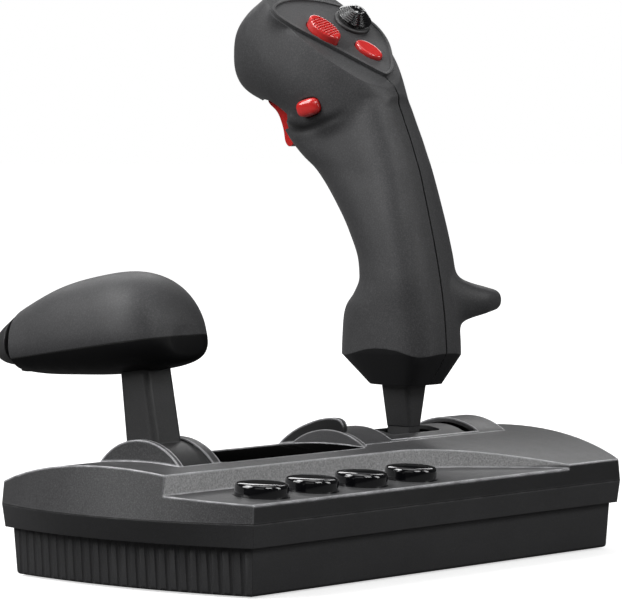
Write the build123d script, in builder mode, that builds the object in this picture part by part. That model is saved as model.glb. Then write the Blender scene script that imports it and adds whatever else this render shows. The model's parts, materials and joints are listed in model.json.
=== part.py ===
from build123d import *
import os
from math import copysign, cos, pi, radians, sin, sqrt

# Flight joystick with throttle: a wide weighted base, a gimballed stick with a
# hand grip and a thumb panel, and a hinged throttle lever with a rudder rocker.
# Millimetres. +X is the user's right, +Y points away from the user, +Z is up.
# The origin is the centre of the base's footprint, on the table.

os.makedirs("parts", exist_ok=True)

# ================================================================ DIMENSIONS
# base heights
FLOOR_Z = 0.6             # underside of the moulding, carried by the feet
FLOOR_T = 2.6             # floor thickness
LEDGE_Z = 21.4            # underside of the overhanging ledge
LEDGE_T = 2.6
SEAM_Z = 31.4             # parting line of the two base mouldings
COVER_BLOCK_Z = 64.0      # top of the tapered block the arch is cut from

# base plans: (half width at the corners, half depth, half width at mid end)
FOOT_LOW_PLAN = (125.3, 67.05, 133.0)
FOOT_HIGH_PLAN = (126.45, 68.2, 134.6)
LEDGE_PLAN = (129.0, 70.75, 140.7)
SEAM_PLAN = (130.0, 71.75, 146.0)
COVER_TOP_PLAN = (127.0, 70.3, 141.0)
FOOT_LOW_INNER = (122.8, 64.5, 130.4)
FOOT_HIGH_INNER = (123.9, 65.7, 132.0)
LEDGE_INNER = (126.6, 68.4, 138.4)
SEAM_INNER = (127.4, 69.15, 143.3)
COVER_TOP_INNER = (124.3, 67.6, 138.2)

# arch of the cover, seen from either end
DOME_R = 229.0
DOME_TOP = 52.7
ARCH_HALF_SPAN = 90
ARCH_LOW_Z = 10           # bottom of the section under the arch

# control deck, sunk in the cover
DECK_Y = -54.0            # line of the four base buttons
DECK_Z = 40.64            # deck surface at that line
DECK_SLOPE = 0.0585       # the deck falls towards the user
DECK_T = 2.4
DECK_BEVEL_Y, DECK_BEVEL = -70.9, 1.7
# rear edge of the deck: (x, y, degrees its outward normal turns from +Y to +X)
DECK_EDGE = [(18, -32, 0), (31.6, -34.6, 16), (44.2, -39.6, 25), (56.7, -46.8, 31.5),
             (68.4, -54.9, 35.5), (79.8, -63.2, 36), (93.5, -73.2, 36)]
BUTTON_X = (-104.0, -71.0, -37.5, -3.0)
BUTTON_R = 11.5
BUTTON_HOLE_R = 11.9
BUTTON_RISE = 4.8

# tray and inlay in the top of the cover
TRAY_CENTRE = (-41, 1.5)
TRAY_DEPTH = 1.5          # below the arch
INLAY_TOP_DROP = 0.45     # inlay surface below the arch

# places in the base, (x, y)
DECK_SCREWS = [(-121, -59), (16, -60.5)]
ARCH_SCREWS = [(121, -59), (-121, 59), (16, 61.5), (121, 59)]
SCREWS = DECK_SCREWS + ARCH_SCREWS
FEET = [(-106, -48), (106, -48), (-106, 48), (106, 48), (0, 0)]
GIMBAL_SCREWS = [(35, -13), (35, 25), (93, -13), (93, 25)]
BOARD_POSTS = [(-72, -34), (-10, -34), (-72, 6), (-10, 6)]
FOOT_POCKET = 1.8
BRACKET_Z = 6.2           # underside of the gimbal bracket
BRACKET_T = 3
BOARD_Z = 9.0             # underside of the main board
BOARD_T = 1.6             # thickness of every circuit board
CABLE_AXIS = (0, 13.5)    # x, z

# gimbal
PIVOT_X, PIVOT_Y, PIVOT_Z = 64.0, 6.0, 21.5
PITCH_AXIS = (PIVOT_Y, PIVOT_Z)   # y, z
ROLL_AXIS = (PIVOT_X, PIVOT_Z)    # x, z
HUMP_R = 37.0
HUMP_X0, HUMP_X1 = 11.5, 118.0
HUMP_T = 2.2
HUMP_END_T = 2.4
SHIELD_R = 34.4
SHIELD_T = 2.0
TRUNNION_R = 3.0
ROLL_PIN_R = 2.5
RUN = 0.05                # radial running clearance

# throttle
THROTTLE_X = -105.75      # middle of the drum
THROTTLE_Y, THROTTLE_Z = 2.0, 32.5
THROTTLE_AXIS = (THROTTLE_Y, THROTTLE_Z)
AXLE_R = 3.0
DRUM_R = 28.5
DRUM_W = 18.5
DRUM_SLOT_W = 19.2
CHEEK_R = 29.6
LEAN = 8.5                # degrees the lever leans away from the user at rest

# ================================================================ HELPERS
CENTRE = [(0, 0)]


def at_x(x):
    """Plane at x facing +X; its local axes are Y and Z."""
    return Plane.YZ.offset(x)


def at_y(y):
    """Plane at y facing -Y; its local axes are X and Z."""
    return Plane.XZ.offset(-y)


def at_z(z):
    """Plane at z facing +Z."""
    return Plane.XY.offset(z)


def save(piece, name):
    piece.part.label = name
    export_step(piece.part, f"parts/{name}.step")


def raise_shapes(plane, centres, amount, shape, *sizes, mode=Mode.ADD):
    """Extrude one flat shape from each centre on the plane, in the open part."""
    with BuildSketch(plane) as outline:
        with Locations(*centres):
            shape(*sizes)
    extrude(outline.sketch, amount=amount, mode=mode)


def cut_shapes(plane, centres, amount, shape, *sizes):
    """As raise_shapes, but removes material."""
    raise_shapes(plane, centres, amount, shape, *sizes, mode=Mode.SUBTRACT)


def screw_set(name, plane, centres, head, shank, socket=None):
    """Screws along the plane's normal: head and shank are (offset, radius, length)."""
    head_at, head_r, head_length = head
    shank_at, shank_r, shank_length = shank
    with BuildPart() as screws:
        with BuildSketch(plane.offset(head_at)):
            with Locations(*centres):
                Circle(head_r)
                if socket:
                    RegularPolygon(socket, 6, mode=Mode.SUBTRACT)
        extrude(amount=head_length)
        raise_shapes(plane.offset(shank_at), centres, shank_length, Circle, shank_r)
    save(screws, name)


def chamfered_pins(name, centre, radius, *spans):
    """Pins on one axis with chamfered ends: each span is (plane, length)."""
    with BuildPart() as pins:
        for plane, length in spans:
            raise_shapes(plane, [centre], length, Circle, radius)
        chamfer(pins.edges().filter_by(GeomType.CIRCLE), 0.4)
    save(pins, name)


def potentiometer(name, plane, axis, radius, length, bore_r, bore_depth, tab_drop=None):
    """Round body with a blind bore, and a tab below it if tab_drop is given."""
    with BuildPart() as body:
        with BuildSketch(plane):
            with Locations(axis):
                Circle(radius)
            if tab_drop:
                with Locations((axis[0], axis[1] - tab_drop)):
                    Rectangle(11, 7)
        extrude(amount=length)
        cut_shapes(plane, [axis], bore_depth, Circle, bore_r)
    save(body, name)


def spring(name, start, direction, radius, pitch, turns, wire_r):
    with BuildPart() as coil_spring:
        with BuildLine() as coil:
            Helix(pitch=pitch, height=pitch * turns, radius=radius,
                  center=start, direction=direction)
        with BuildSketch(Plane(origin=coil.line @ 0, z_dir=coil.line % 0)):
            Circle(wire_r)
        sweep(is_frenet=True)
    save(coil_spring, name)


def upright_section(plane):
    """Plane that holds the given plane's x axis and its normal."""
    return Plane(origin=plane.origin, x_dir=plane.x_dir, z_dir=plane.x_dir.cross(plane.z_dir))


def closed_spline(points):
    with BuildSketch() as outline:
        with BuildLine():
            Spline(*points, periodic=True)
        make_face()
    return outline.sketch


def egg(half_width, low, high, low_power, high_power, centre_x=0.0, split=0.42):
    """Closed curve from low to high, widest at the split; a higher power is squarer."""
    points = []
    middle = low + (high - low) * split
    count = 16
    for i in range(count):
        t = 2 * pi * (i + 0.5) / count
        power = high_power if sin(t) > 0 else low_power
        half_height = (high - middle) if sin(t) > 0 else (middle - low)
        x = half_width * copysign(abs(cos(t)) ** (2 / power), cos(t))
        y = half_height * copysign(abs(sin(t)) ** (2 / power), sin(t))
        points.append((centre_x + x, middle + y))
    return closed_spline(points)


def bowed_plan(corner_x, corner_y, mid_x):
    """Straight front and rear, both ends bowed outwards."""
    with BuildSketch() as plan:
        with BuildLine():
            Line((-corner_x, -corner_y), (corner_x, -corner_y))
            ThreePointArc((corner_x, -corner_y), (mid_x, 0), (corner_x, corner_y))
            Line((corner_x, corner_y), (-corner_x, corner_y))
            ThreePointArc((-corner_x, corner_y), (-mid_x, 0), (-corner_x, -corner_y))
        make_face()
    return plan.sketch


def bowed_solid(low_z, low_plan, high_z, high_plan):
    """Solid lofted between two bowed plans."""
    with BuildPart() as block:
        with BuildSketch(at_z(low_z)):
            add(bowed_plan(*low_plan))
        with BuildSketch(at_z(high_z)):
            add(bowed_plan(*high_plan))
        loft()
    return block.part


def under_arch(drop):
    """Area below the cover's arch, lowered by drop, in a section across the base."""
    def arch_point(y):
        return (y, sqrt((DOME_R - drop) ** 2 - y * y) + DOME_TOP - DOME_R)
    front, rear = arch_point(-ARCH_HALF_SPAN), arch_point(ARCH_HALF_SPAN)
    with BuildSketch() as section:
        with BuildLine():
            ThreePointArc(front, arch_point(0), rear)
            Polyline(rear, (ARCH_HALF_SPAN, ARCH_LOW_Z), (-ARCH_HALF_SPAN, ARCH_LOW_Z), front)
        make_face()
    return section.sketch


def trim_by_arch(drop, reach, mode=Mode.INTERSECT):
    """Combine the open part with all that lies below the lowered arch."""
    with BuildSketch(Plane.YZ) as section:
        add(under_arch(drop))
    extrude(section.sketch, amount=reach, both=True, mode=mode)


def round_top(x, length, axis, radius, base_z):
    """Add the part above base_z of a cylinder lying along X."""
    with BuildSketch(at_x(x)) as segment:
        with Locations(axis):
            Circle(radius)
        with Locations((axis[0], 0)):
            Rectangle(90, 2 * base_z, mode=Mode.SUBTRACT)
    extrude(segment.sketch, amount=length)


def about_pitch(radius, degrees):
    """Point (y, z) at an angle from the vertical around the pitch axis."""
    angle = radians(degrees)
    return (PIVOT_Y + radius * sin(angle), PIVOT_Z + radius * cos(angle))


def deck_plan(grow):
    """Plan of the sunken deck, open to the front and to the left end."""
    edge = [(x + grow * sin(radians(turn)), y + grow * cos(radians(turn)))
            for x, y, turn in DECK_EDGE]
    with BuildSketch() as plan:
        with BuildLine():
            Line((-170, edge[0][1]), edge[0])
            Spline(*edge, tangents=((1, 0), (0.81, -0.59)))
            Polyline(edge[-1], (edge[-1][0], -100), (-170, -100), (-170, edge[0][1]))
        make_face()
    return plan.sketch


def deck_side(drop):
    """Side section of the space above the deck, with the bevel of its front edge."""
    def surface_z(y):
        return DECK_Z + (y - DECK_Y) * DECK_SLOPE - drop
    bevel_z = surface_z(DECK_BEVEL_Y)
    with BuildSketch() as section:
        with BuildLine():
            Polyline((-10, surface_z(-10)), (DECK_BEVEL_Y, bevel_z),
                     (DECK_BEVEL_Y - DECK_BEVEL, bevel_z - DECK_BEVEL),
                     (-110, bevel_z - DECK_BEVEL), (-110, 90), (-10, 90), (-10, surface_z(-10)))
        make_face()
    return section.sketch


def deck_block(wall):
    """The space above the deck, grown outwards and down by the wall."""
    with BuildPart() as block:
        with BuildSketch(at_z(20)):
            add(deck_plan(wall))
        extrude(amount=60)
        with BuildSketch(Plane.YZ):
            add(deck_side(wall))
        extrude(amount=180, both=True, mode=Mode.INTERSECT)
    return block.part


deck = Plane(origin=(0, DECK_Y, DECK_Z), x_dir=(1, 0, 0), z_dir=(0, -DECK_SLOPE, 1))
# one post midway between the buttons of each pair
BUTTON_BOARD_POSTS = [((BUTTON_X[0] + BUTTON_X[1]) / 2, 0), ((BUTTON_X[2] + BUTTON_X[3]) / 2, 0)]

# ================================================================ BASE
# --- lower moulding: box with a narrower foot, overhanging ledge, bosses
FLUTE_R = 1.5
FLUTE_PITCH = 5.3
FLUTE_COUNT = 25
RIB_X = (-118.9, -92.6)
RIB_TOP = 38


def foot_end_x(y, plan):
    """Half width of the foot at y, taking its bowed end as a parabola."""
    corner_x, corner_y, mid_x = plan
    return corner_x + (mid_x - corner_x) * (1 - (y / corner_y) ** 2)


with BuildPart() as base_bottom_shell:
    add(bowed_solid(FLOOR_Z, FOOT_LOW_PLAN, LEDGE_Z, FOOT_HIGH_PLAN))
    fillet(base_bottom_shell.faces().sort_by(Axis.Z)[0].edges(), 1.6)
    add(bowed_solid(LEDGE_Z, LEDGE_PLAN, SEAM_Z, SEAM_PLAN))
    add(bowed_solid(FLOOR_Z + FLOOR_T, FOOT_LOW_INNER, LEDGE_Z + LEDGE_T, FOOT_HIGH_INNER),
        mode=Mode.SUBTRACT)
    add(bowed_solid(LEDGE_Z + LEDGE_T, LEDGE_INNER, SEAM_Z, SEAM_INNER), mode=Mode.SUBTRACT)
    # shallow upright flutes along both ends
    for side in (-1, 1):
        for i in range(FLUTE_COUNT):
            y = (i - FLUTE_COUNT // 2) * FLUTE_PITCH
            low_x = foot_end_x(y, FOOT_LOW_PLAN)
            high_x = foot_end_x(y, FOOT_HIGH_PLAN)
            flute = Plane(origin=(side * (low_x + 0.85), y, FLOOR_Z - 1), x_dir=(0, 1, 0),
                          z_dir=(side * (high_x - low_x), 0, LEDGE_Z - FLOOR_Z))
            with BuildSketch(flute):
                Circle(FLUTE_R)
    extrude(amount=LEDGE_Z - FLOOR_Z + 0.9, mode=Mode.SUBTRACT)
    # screw towers that meet the cover's towers at the parting line
    raise_shapes(at_z(FLOOR_Z + 0.5), SCREWS, SEAM_Z - FLOOR_Z - 0.5, Circle, 4.8)
    cut_shapes(at_z(0), SCREWS, 24.0, Circle, 3.3)
    cut_shapes(at_z(0), SCREWS, 40, Circle, 1.7)
    # pockets for the feet
    cut_shapes(at_z(0), FEET, FOOT_POCKET, Circle, 7.1)
    # pads under the gimbal bracket and the main board
    raise_shapes(at_z(FLOOR_Z + 1), GIMBAL_SCREWS, BRACKET_Z - FLOOR_Z - 1, Circle, 4.0)
    cut_shapes(at_z(2.0), GIMBAL_SCREWS, 10, Circle, 1.5)
    raise_shapes(at_z(FLOOR_Z + 1), BOARD_POSTS, BOARD_Z - FLOOR_Z - 1, Circle, 3.0)
    cut_shapes(at_z(3.4), BOARD_POSTS, 10, Circle, 1.1)
    # two ribs that carry the throttle axle in open slots
    raise_shapes(at_z(FLOOR_Z + 1), [(x, THROTTLE_Y) for x in RIB_X], RIB_TOP - FLOOR_Z - 1,
                 Rectangle, 4.4, 22)
    with BuildSketch(at_x(-130)):
        with Locations(THROTTLE_AXIS):
            Circle(AXLE_R + RUN)
        with Locations((THROTTLE_Y, THROTTLE_Z + 10)):
            Rectangle(2 * (AXLE_R + RUN), 20)
    extrude(amount=45, mode=Mode.SUBTRACT)
    # cable outlet in the rear wall
    cut_shapes(at_y(60), [CABLE_AXIS], -12, Circle, 4.0)
save(base_bottom_shell, "base_bottom_shell")

# --- upper moulding: arched cover with deck, throttle cheeks and gimbal hump
with BuildPart() as cover_cavity:
    add(bowed_solid(SEAM_Z - 1, SEAM_INNER, COVER_BLOCK_Z, COVER_TOP_INNER))
    trim_by_arch(2.8, 170)

cover_block = bowed_solid(SEAM_Z, SEAM_PLAN, COVER_BLOCK_Z, COVER_TOP_PLAN)

with BuildPart() as deck_pan:
    add(deck_block(DECK_T))
    add(cover_block, mode=Mode.INTERSECT)
    trim_by_arch(0, 170)

with BuildPart() as tray_space:
    raise_shapes(at_z(40), [TRAY_CENTRE], 30, RectangleRounded, 98, 45, 4)
    trim_by_arch(TRAY_DEPTH, 180, mode=Mode.SUBTRACT)

DRUM_SLOT_X0 = THROTTLE_X - DRUM_SLOT_W / 2
DRUM_SLOT_X1 = THROTTLE_X + DRUM_SLOT_W / 2
CHEEK_BASE_Z = 46.5
LEFT_CHEEK_T, RIGHT_CHEEK_T = 2.85, 5.0
WINDOW_X0, WINDOW_W = 35, 64
WINDOW_ANGLE = 31         # to each side of the vertical, about the pitch axis

with BuildPart() as top_cover:
    add(cover_block)
    trim_by_arch(0, 170)
    add(cover_cavity.part, mode=Mode.SUBTRACT)
    # floor and back wall of the sunken deck
    add(deck_pan.part)
    # gimbal hump
    round_top(HUMP_X0, HUMP_X1 - HUMP_X0, PITCH_AXIS, HUMP_R, base_z=46)
    # cheeks on each side of the throttle drum
    round_top(DRUM_SLOT_X0 - LEFT_CHEEK_T, LEFT_CHEEK_T, THROTTLE_AXIS, CHEEK_R, CHEEK_BASE_Z)
    round_top(DRUM_SLOT_X1, RIGHT_CHEEK_T, THROTTLE_AXIS, CHEEK_R, CHEEK_BASE_Z)
    add(deck_block(0), mode=Mode.SUBTRACT)
    cut_shapes(at_x(DRUM_SLOT_X0), [THROTTLE_AXIS], DRUM_SLOT_W, Circle, DRUM_R + 0.6)
    # room inside the hump, and its window
    cut_shapes(at_x(HUMP_X0 + HUMP_END_T), [PITCH_AXIS], HUMP_X1 - HUMP_X0 - 2 * HUMP_END_T,
               Circle, HUMP_R - HUMP_T)
    with BuildSketch(at_x(WINDOW_X0)):
        with BuildLine():
            Polyline(PITCH_AXIS, about_pitch(60, -WINDOW_ANGLE), about_pitch(60, WINDOW_ANGLE),
                     PITCH_AXIS)
        make_face()
    extrude(amount=WINDOW_W, mode=Mode.SUBTRACT)
    # shallow tray for the inlay
    add(tray_space.part, mode=Mode.SUBTRACT)
    # arched fin standing on the hump's left cheek
    with BuildSketch(at_x(9.4)):
        with BuildLine():
            Spline((34.0, 48.6), (26.3, 55.1), (12.8, 61.5), (0.5, 63.8),
                   (-4.6, 62.4), (-5.8, 59.0), (-3.6, 56.2))
            Polyline((-3.6, 56.2), (6.0, 55.0), (20.0, 50.0), (28.0, 46.0), (34.0, 48.6))
        make_face()
    extrude(amount=2.9)
    # screw towers: short ones under the deck, long ones under the arch
    raise_shapes(at_z(SEAM_Z), DECK_SCREWS, 7.2, Circle, 3.6)
    raise_shapes(at_z(SEAM_Z), ARCH_SCREWS, 11.6, Circle, 3.6)
    cut_shapes(at_z(SEAM_Z - 1), SCREWS, 6.6, Circle, 1.5)
    # posts for the button board, and the button holes
    raise_shapes(deck.offset(-9.5), BUTTON_BOARD_POSTS, 8.5, Circle, 2.6)
    cut_shapes(deck.offset(-9.6), BUTTON_BOARD_POSTS, 6.6, Circle, 1.0)
    cut_shapes(deck.offset(8), [(x, 0) for x in BUTTON_X], -12, Circle, BUTTON_HOLE_R)
save(top_cover, "top_cover")

# --- glossy inlay in the tray
with BuildPart() as tray_inlay:
    raise_shapes(at_z(40), [TRAY_CENTRE], 30, RectangleRounded, 97.6, 44.6, 3.8)
    trim_by_arch(INLAY_TOP_DROP, 180)
    trim_by_arch(TRAY_DEPTH, 180, mode=Mode.SUBTRACT)
save(tray_inlay, "tray_inlay")

# --- feet
with BuildPart() as rubber_feet:
    raise_shapes(at_z(0), FEET, FOOT_POCKET, Circle, 7.0)
    chamfer(rubber_feet.edges().filter_by(GeomType.CIRCLE).group_by(Axis.Z)[0], 0.4)
save(rubber_feet, "rubber_feet")

# --- ballast plate on the floor, with four holes
BALLAST_CENTRE = (-41, 38)
with BuildPart() as ballast_plate:
    with BuildSketch(at_z(FLOOR_Z + FLOOR_T)):
        with Locations(BALLAST_CENTRE):
            RectangleRounded(84, 40, 3)
        with Locations(BALLAST_CENTRE):
            with GridLocations(64, 22, 2, 2):
                Circle(2.6, mode=Mode.SUBTRACT)
    extrude(amount=5)
save(ballast_plate, "ballast_plate")

# --- main board with three components on top
with BuildPart() as main_board:
    with BuildSketch(at_z(BOARD_Z)):
        with Locations((-41, -14)):
            Rectangle(72, 50)
        with Locations(*BOARD_POSTS):
            Circle(1.5, mode=Mode.SUBTRACT)
    extrude(amount=BOARD_T)
    with BuildSketch(at_z(BOARD_Z + BOARD_T)):
        with Locations((-44, -16)):
            Rectangle(12, 12)
        with Locations((-20, 5)):
            Rectangle(10, 6)
        with Locations((-62, -30)):
            Rectangle(14, 6)
    extrude(amount=2.2)
save(main_board, "main_board")

screw_set("board_screws", Plane.XY, BOARD_POSTS,
          head=(BOARD_Z + BOARD_T, 2.2, 1.4), shank=(4.2, 1.05, 6.5))
screw_set("base_screws", Plane.XY, SCREWS,
          head=(21.8, 2.9, 2.2), shank=(23.2, 1.45, 13.4), socket=1.3)

# --- strain relief: flange inside the rear wall and a slotted taper behind it
RELIEF_Y = 62.8
with BuildPart() as strain_relief:
    raise_shapes(at_y(RELIEF_Y), [CABLE_AXIS], -1.6, Circle, 5.6)
    for y, radius in ((RELIEF_Y, 3.95), (86, 3.1)):
        with BuildSketch(at_y(y)):
            with Locations(CABLE_AXIS):
                Circle(radius)
    loft()
    for k in range(4):
        with BuildSketch(at_y(71 + 3.4 * k)):
            with Locations(CABLE_AXIS):
                Circle(5.0)
                Circle(2.9, mode=Mode.SUBTRACT)
                Rectangle(3.0, 12, mode=Mode.SUBTRACT)
        extrude(amount=-1.2, mode=Mode.SUBTRACT)
    cut_shapes(at_y(60), [CABLE_AXIS], -30, Circle, 2.35)
save(strain_relief, "strain_relief")

with BuildPart() as cable:
    raise_shapes(at_y(14), [CABLE_AXIS], -96, Circle, 2.3)
save(cable, "cable")

# --- base buttons and their silicone domes, both turned about the deck's normal
CROWN_EDGE = (BUTTON_R, BUTTON_RISE - 2.0)
for number, x in enumerate(BUTTON_X, start=1):
    seat = Plane(origin=deck.from_local_coords((x, 0, 0)), x_dir=(1, 0, 0), z_dir=deck.z_dir)
    section = upright_section(seat)
    with BuildPart() as button_cap:
        with BuildSketch(section):
            with BuildLine():
                Polyline((0, -4.4), (4.0, -4.4), (4.0, -6.0), (6.0, -6.0), (6.0, -4.2),
                         (12.8, -4.2), (12.8, -2.65), (BUTTON_R, -2.65), CROWN_EDGE)
                Spline(CROWN_EDGE, (BUTTON_R - 1.5, BUTTON_RISE - 0.55), (0, BUTTON_RISE),
                       tangents=((0, 1), (-1, 0)))
                Line((0, BUTTON_RISE), (0, -4.4))
            make_face()
        revolve(axis=Axis(seat.origin, seat.z_dir))
    save(button_cap, f"base_button_{number}")
    with BuildPart() as silicone_dome:
        with BuildSketch(section):
            with BuildLine():
                Polyline((0, -6.9), (2.0, -6.9), (2.0, -6.05), (5.4, -6.05), (7.4, -9.0),
                         (8.4, -9.0), (8.4, -9.5), (6.6, -9.5), (4.6, -7.2), (2.6, -7.2),
                         (2.6, -7.9), (0, -7.9), (0, -6.9))
            make_face()
        revolve(axis=Axis(seat.origin, seat.z_dir))
    save(silicone_dome, f"button_dome_{number}")

# --- board under the base buttons
with BuildPart() as button_board:
    with BuildSketch(deck.offset(-9.5 - BOARD_T)):
        with Locations(((BUTTON_X[0] + BUTTON_X[-1]) / 2, 0)):
            Rectangle(122, 19)
        with Locations(*BUTTON_BOARD_POSTS):
            Circle(1.3, mode=Mode.SUBTRACT)
    extrude(amount=BOARD_T)
save(button_board, "button_board")

screw_set("button_board_screws", deck, BUTTON_BOARD_POSTS,
          head=(-12.5, 2.2, 1.4), shank=(-11.2, 0.95, 7.6))

# ================================================================ GIMBAL
SPRING_PEG_R = 1.6

# --- bracket: open plate with an upright at each end of the pitch axis
with BuildPart() as gimbal_bracket:
    with BuildSketch(at_z(BRACKET_Z)):
        with Locations((PIVOT_X, PIVOT_Y)):
            Rectangle(82, 48)
        with Locations((PIVOT_X, PIVOT_Y)):
            Rectangle(40, 24, mode=Mode.SUBTRACT)
        with Locations(*GIMBAL_SCREWS):
            Circle(1.6, mode=Mode.SUBTRACT)
    extrude(amount=BRACKET_T)
    for x in (24.0, 99.0):
        with BuildSketch(at_x(x)):
            with BuildLine():
                Polyline((PIVOT_Y - 11, 7), (PIVOT_Y + 11, 7), (PIVOT_Y + 7.5, PIVOT_Z + 14),
                         (PIVOT_Y - 7.5, PIVOT_Z + 14), (PIVOT_Y - 11, 7))
            make_face()
            with Locations(PITCH_AXIS):
                Circle(TRUNNION_R + RUN, mode=Mode.SUBTRACT)
        extrude(amount=5)
    # fixed peg between the pitch spring's arms
    raise_shapes(at_x(28), [(PIVOT_Y, PIVOT_Z + 11.5)], 4.4, Circle, SPRING_PEG_R)
save(gimbal_bracket, "gimbal_bracket")

screw_set("gimbal_screws", Plane.XY, GIMBAL_SCREWS,
          head=(BRACKET_Z + BRACKET_T, 2.7, 1.8), shank=(2.6, 1.45, 6.9), socket=1.2)

# --- pitch frame: ring around the stick, side webs and the curved dust shield
WEB_R, WEB_ANGLE = 33.6, 40
SHIELD_ANGLE = 47
SHIELD_INNER_R = SHIELD_R - SHIELD_T

with BuildPart() as pitch_frame:
    with BuildSketch(at_z(PIVOT_Z - 7)):
        with Locations((66.5, PIVOT_Y)):
            Rectangle(53, 30)
            Rectangle(47, 22.4, mode=Mode.SUBTRACT)
    extrude(amount=14)
    for x in (40, 90):
        with BuildSketch(at_x(x)):
            with BuildLine():
                Polyline((PIVOT_Y - 7, PIVOT_Z - 7), (PIVOT_Y + 7, PIVOT_Z - 7),
                         (PIVOT_Y + 7, PIVOT_Z), about_pitch(WEB_R, WEB_ANGLE))
                ThreePointArc(about_pitch(WEB_R, WEB_ANGLE), about_pitch(WEB_R, 0),
                              about_pitch(WEB_R, -WEB_ANGLE))
                Polyline(about_pitch(WEB_R, -WEB_ANGLE), (PIVOT_Y - 7, PIVOT_Z),
                         (PIVOT_Y - 7, PIVOT_Z - 7))
            make_face()
        extrude(amount=3)
    # hubs for the trunnion pins
    raise_shapes(at_x(30.5), [PITCH_AXIS], 10, Circle, 6.0)
    raise_shapes(at_x(92.5), [PITCH_AXIS], 5.8, Circle, 6.0)
    # curved shield
    with BuildSketch(at_x(38)):
        with BuildLine():
            outer_front = about_pitch(SHIELD_R, -SHIELD_ANGLE)
            outer_rear = about_pitch(SHIELD_R, SHIELD_ANGLE)
            inner_front = about_pitch(SHIELD_INNER_R, -SHIELD_ANGLE)
            inner_rear = about_pitch(SHIELD_INNER_R, SHIELD_ANGLE)
            ThreePointArc(outer_rear, about_pitch(SHIELD_R, 0), outer_front)
            Line(outer_front, inner_front)
            ThreePointArc(inner_front, about_pitch(SHIELD_INNER_R, 0), inner_rear)
            Line(inner_rear, outer_rear)
        make_face()
    extrude(amount=57)
    # slot that lets the stick roll
    cut_shapes(at_z(PIVOT_Z + 20), [(PIVOT_X, 3)], 20, RectangleRounded, 37, 15.6, 2.5)
    # bores for the trunnion pins and the roll pin
    for x in (20, 90):
        cut_shapes(at_x(x), [PITCH_AXIS], 23, Circle, TRUNNION_R)
    cut_shapes(at_y(-30), [ROLL_AXIS], -70, Circle, ROLL_PIN_R + RUN)
    # lug that turns the pitch spring, beyond the fixed peg
    raise_shapes(at_x(35), [(PIVOT_Y, PIVOT_Z + 16.5)], 6, Circle, SPRING_PEG_R)
save(pitch_frame, "pitch_frame")

# --- pins, potentiometers and centring springs of the two axes
chamfered_pins("trunnion_pins", PITCH_AXIS, TRUNNION_R, (at_x(22.5), 20.5), (at_x(90), 18))
chamfered_pins("roll_pin", ROLL_AXIS, ROLL_PIN_R, (at_y(-14.5), -40))
potentiometer("pitch_potentiometer", at_x(104.1), PITCH_AXIS, radius=7.5, length=6.2,
              bore_r=TRUNNION_R + RUN, bore_depth=4.6, tab_drop=7)
potentiometer("roll_potentiometer", at_y(PIVOT_Y + 15.1), ROLL_AXIS, radius=7.0, length=-5.4,
              bore_r=ROLL_PIN_R + RUN, bore_depth=-4.6)
spring("pitch_spring", (31.6, PIVOT_Y, PIVOT_Z), (1, 0, 0),
       radius=7.3, pitch=1.9, turns=3, wire_r=0.6)
spring("roll_spring", (PIVOT_X, PIVOT_Y - 15.9, PIVOT_Z), (0, -1, 0),
       radius=4.4, pitch=1.5, turns=3, wire_r=0.5)

# --- stick shaft: barrel on the roll pin, blade through the shield, flared neck, tenon
GRIP_X = PIVOT_X          # the grip's two shells meet on this plane
BLADE_TOP = 57.0
TENON_Z = 78.5
TENON_CENTRE = (GRIP_X, 2.8)
CLAMP_SCREW = (6.6, 90.5)  # y, z
BLADE_CENTRE = (PIVOT_X, 3.0)

with BuildPart() as stick_shaft:
    raise_shapes(at_y(PIVOT_Y - 11.0), [ROLL_AXIS], -22, Circle, 7.0)
    raise_shapes(at_z(PIVOT_Z), [BLADE_CENTRE], BLADE_TOP - PIVOT_Z,
                 RectangleRounded, 8.0, 13.6, 1.2)
    with BuildSketch(at_z(BLADE_TOP)):
        with Locations(BLADE_CENTRE):
            RectangleRounded(8.6, 14.0, 1.6)
    with BuildSketch(at_z(TENON_Z)):
        with Locations(TENON_CENTRE):
            RectangleRounded(16.2, 16.6, 2.6)
    loft()
    raise_shapes(at_z(TENON_Z), [TENON_CENTRE], 24, RectangleRounded, 12, 12, 1.5)
    cut_shapes(at_y(-30), [ROLL_AXIS], -70, Circle, ROLL_PIN_R)
    # wire passage
    cut_shapes(at_z(PIVOT_Z + 12), [BLADE_CENTRE], 90, Circle, 2.2)
    cut_shapes(at_y(-10), [(PIVOT_X, PIVOT_Z + 14.2)], -13, Circle, 2.2)
    # clamp screw passage through the tenon
    cut_shapes(at_x(50), [CLAMP_SCREW], 28, Circle, 1.3)
save(stick_shaft, "stick_shaft")

# ================================================================ GRIP
GRIP_T = 2.4
# column the hand closes around:
# (z, half width, y nearest the user, y farthest from the user, squareness of the far end)
COLUMN = [
    (91.0, 20.2, -21.9, 34.6, 2.2), (101.0, 20.5, -21.4, 33.8, 2.2),
    (110.0, 20.7, -20.5, 31.6, 2.2), (119.0, 20.8, -19.2, 25.4, 2.2),
    (128.0, 20.6, -17.6, 22.6, 2.2), (146.0, 20.0, -13.6, 29.6, 2.2),
    (160.0, 19.3, -10.0, 38.4, 2.3), (174.0, 18.2, -6.2, 49.0, 2.5),
    (188.0, 17.6, -1.0, 59.4, 3.0), (200.0, 17.2, 4.2, 64.0, 3.2),
    (212.0, 15.0, 9.6, 60.0, 2.6),
]
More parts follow.
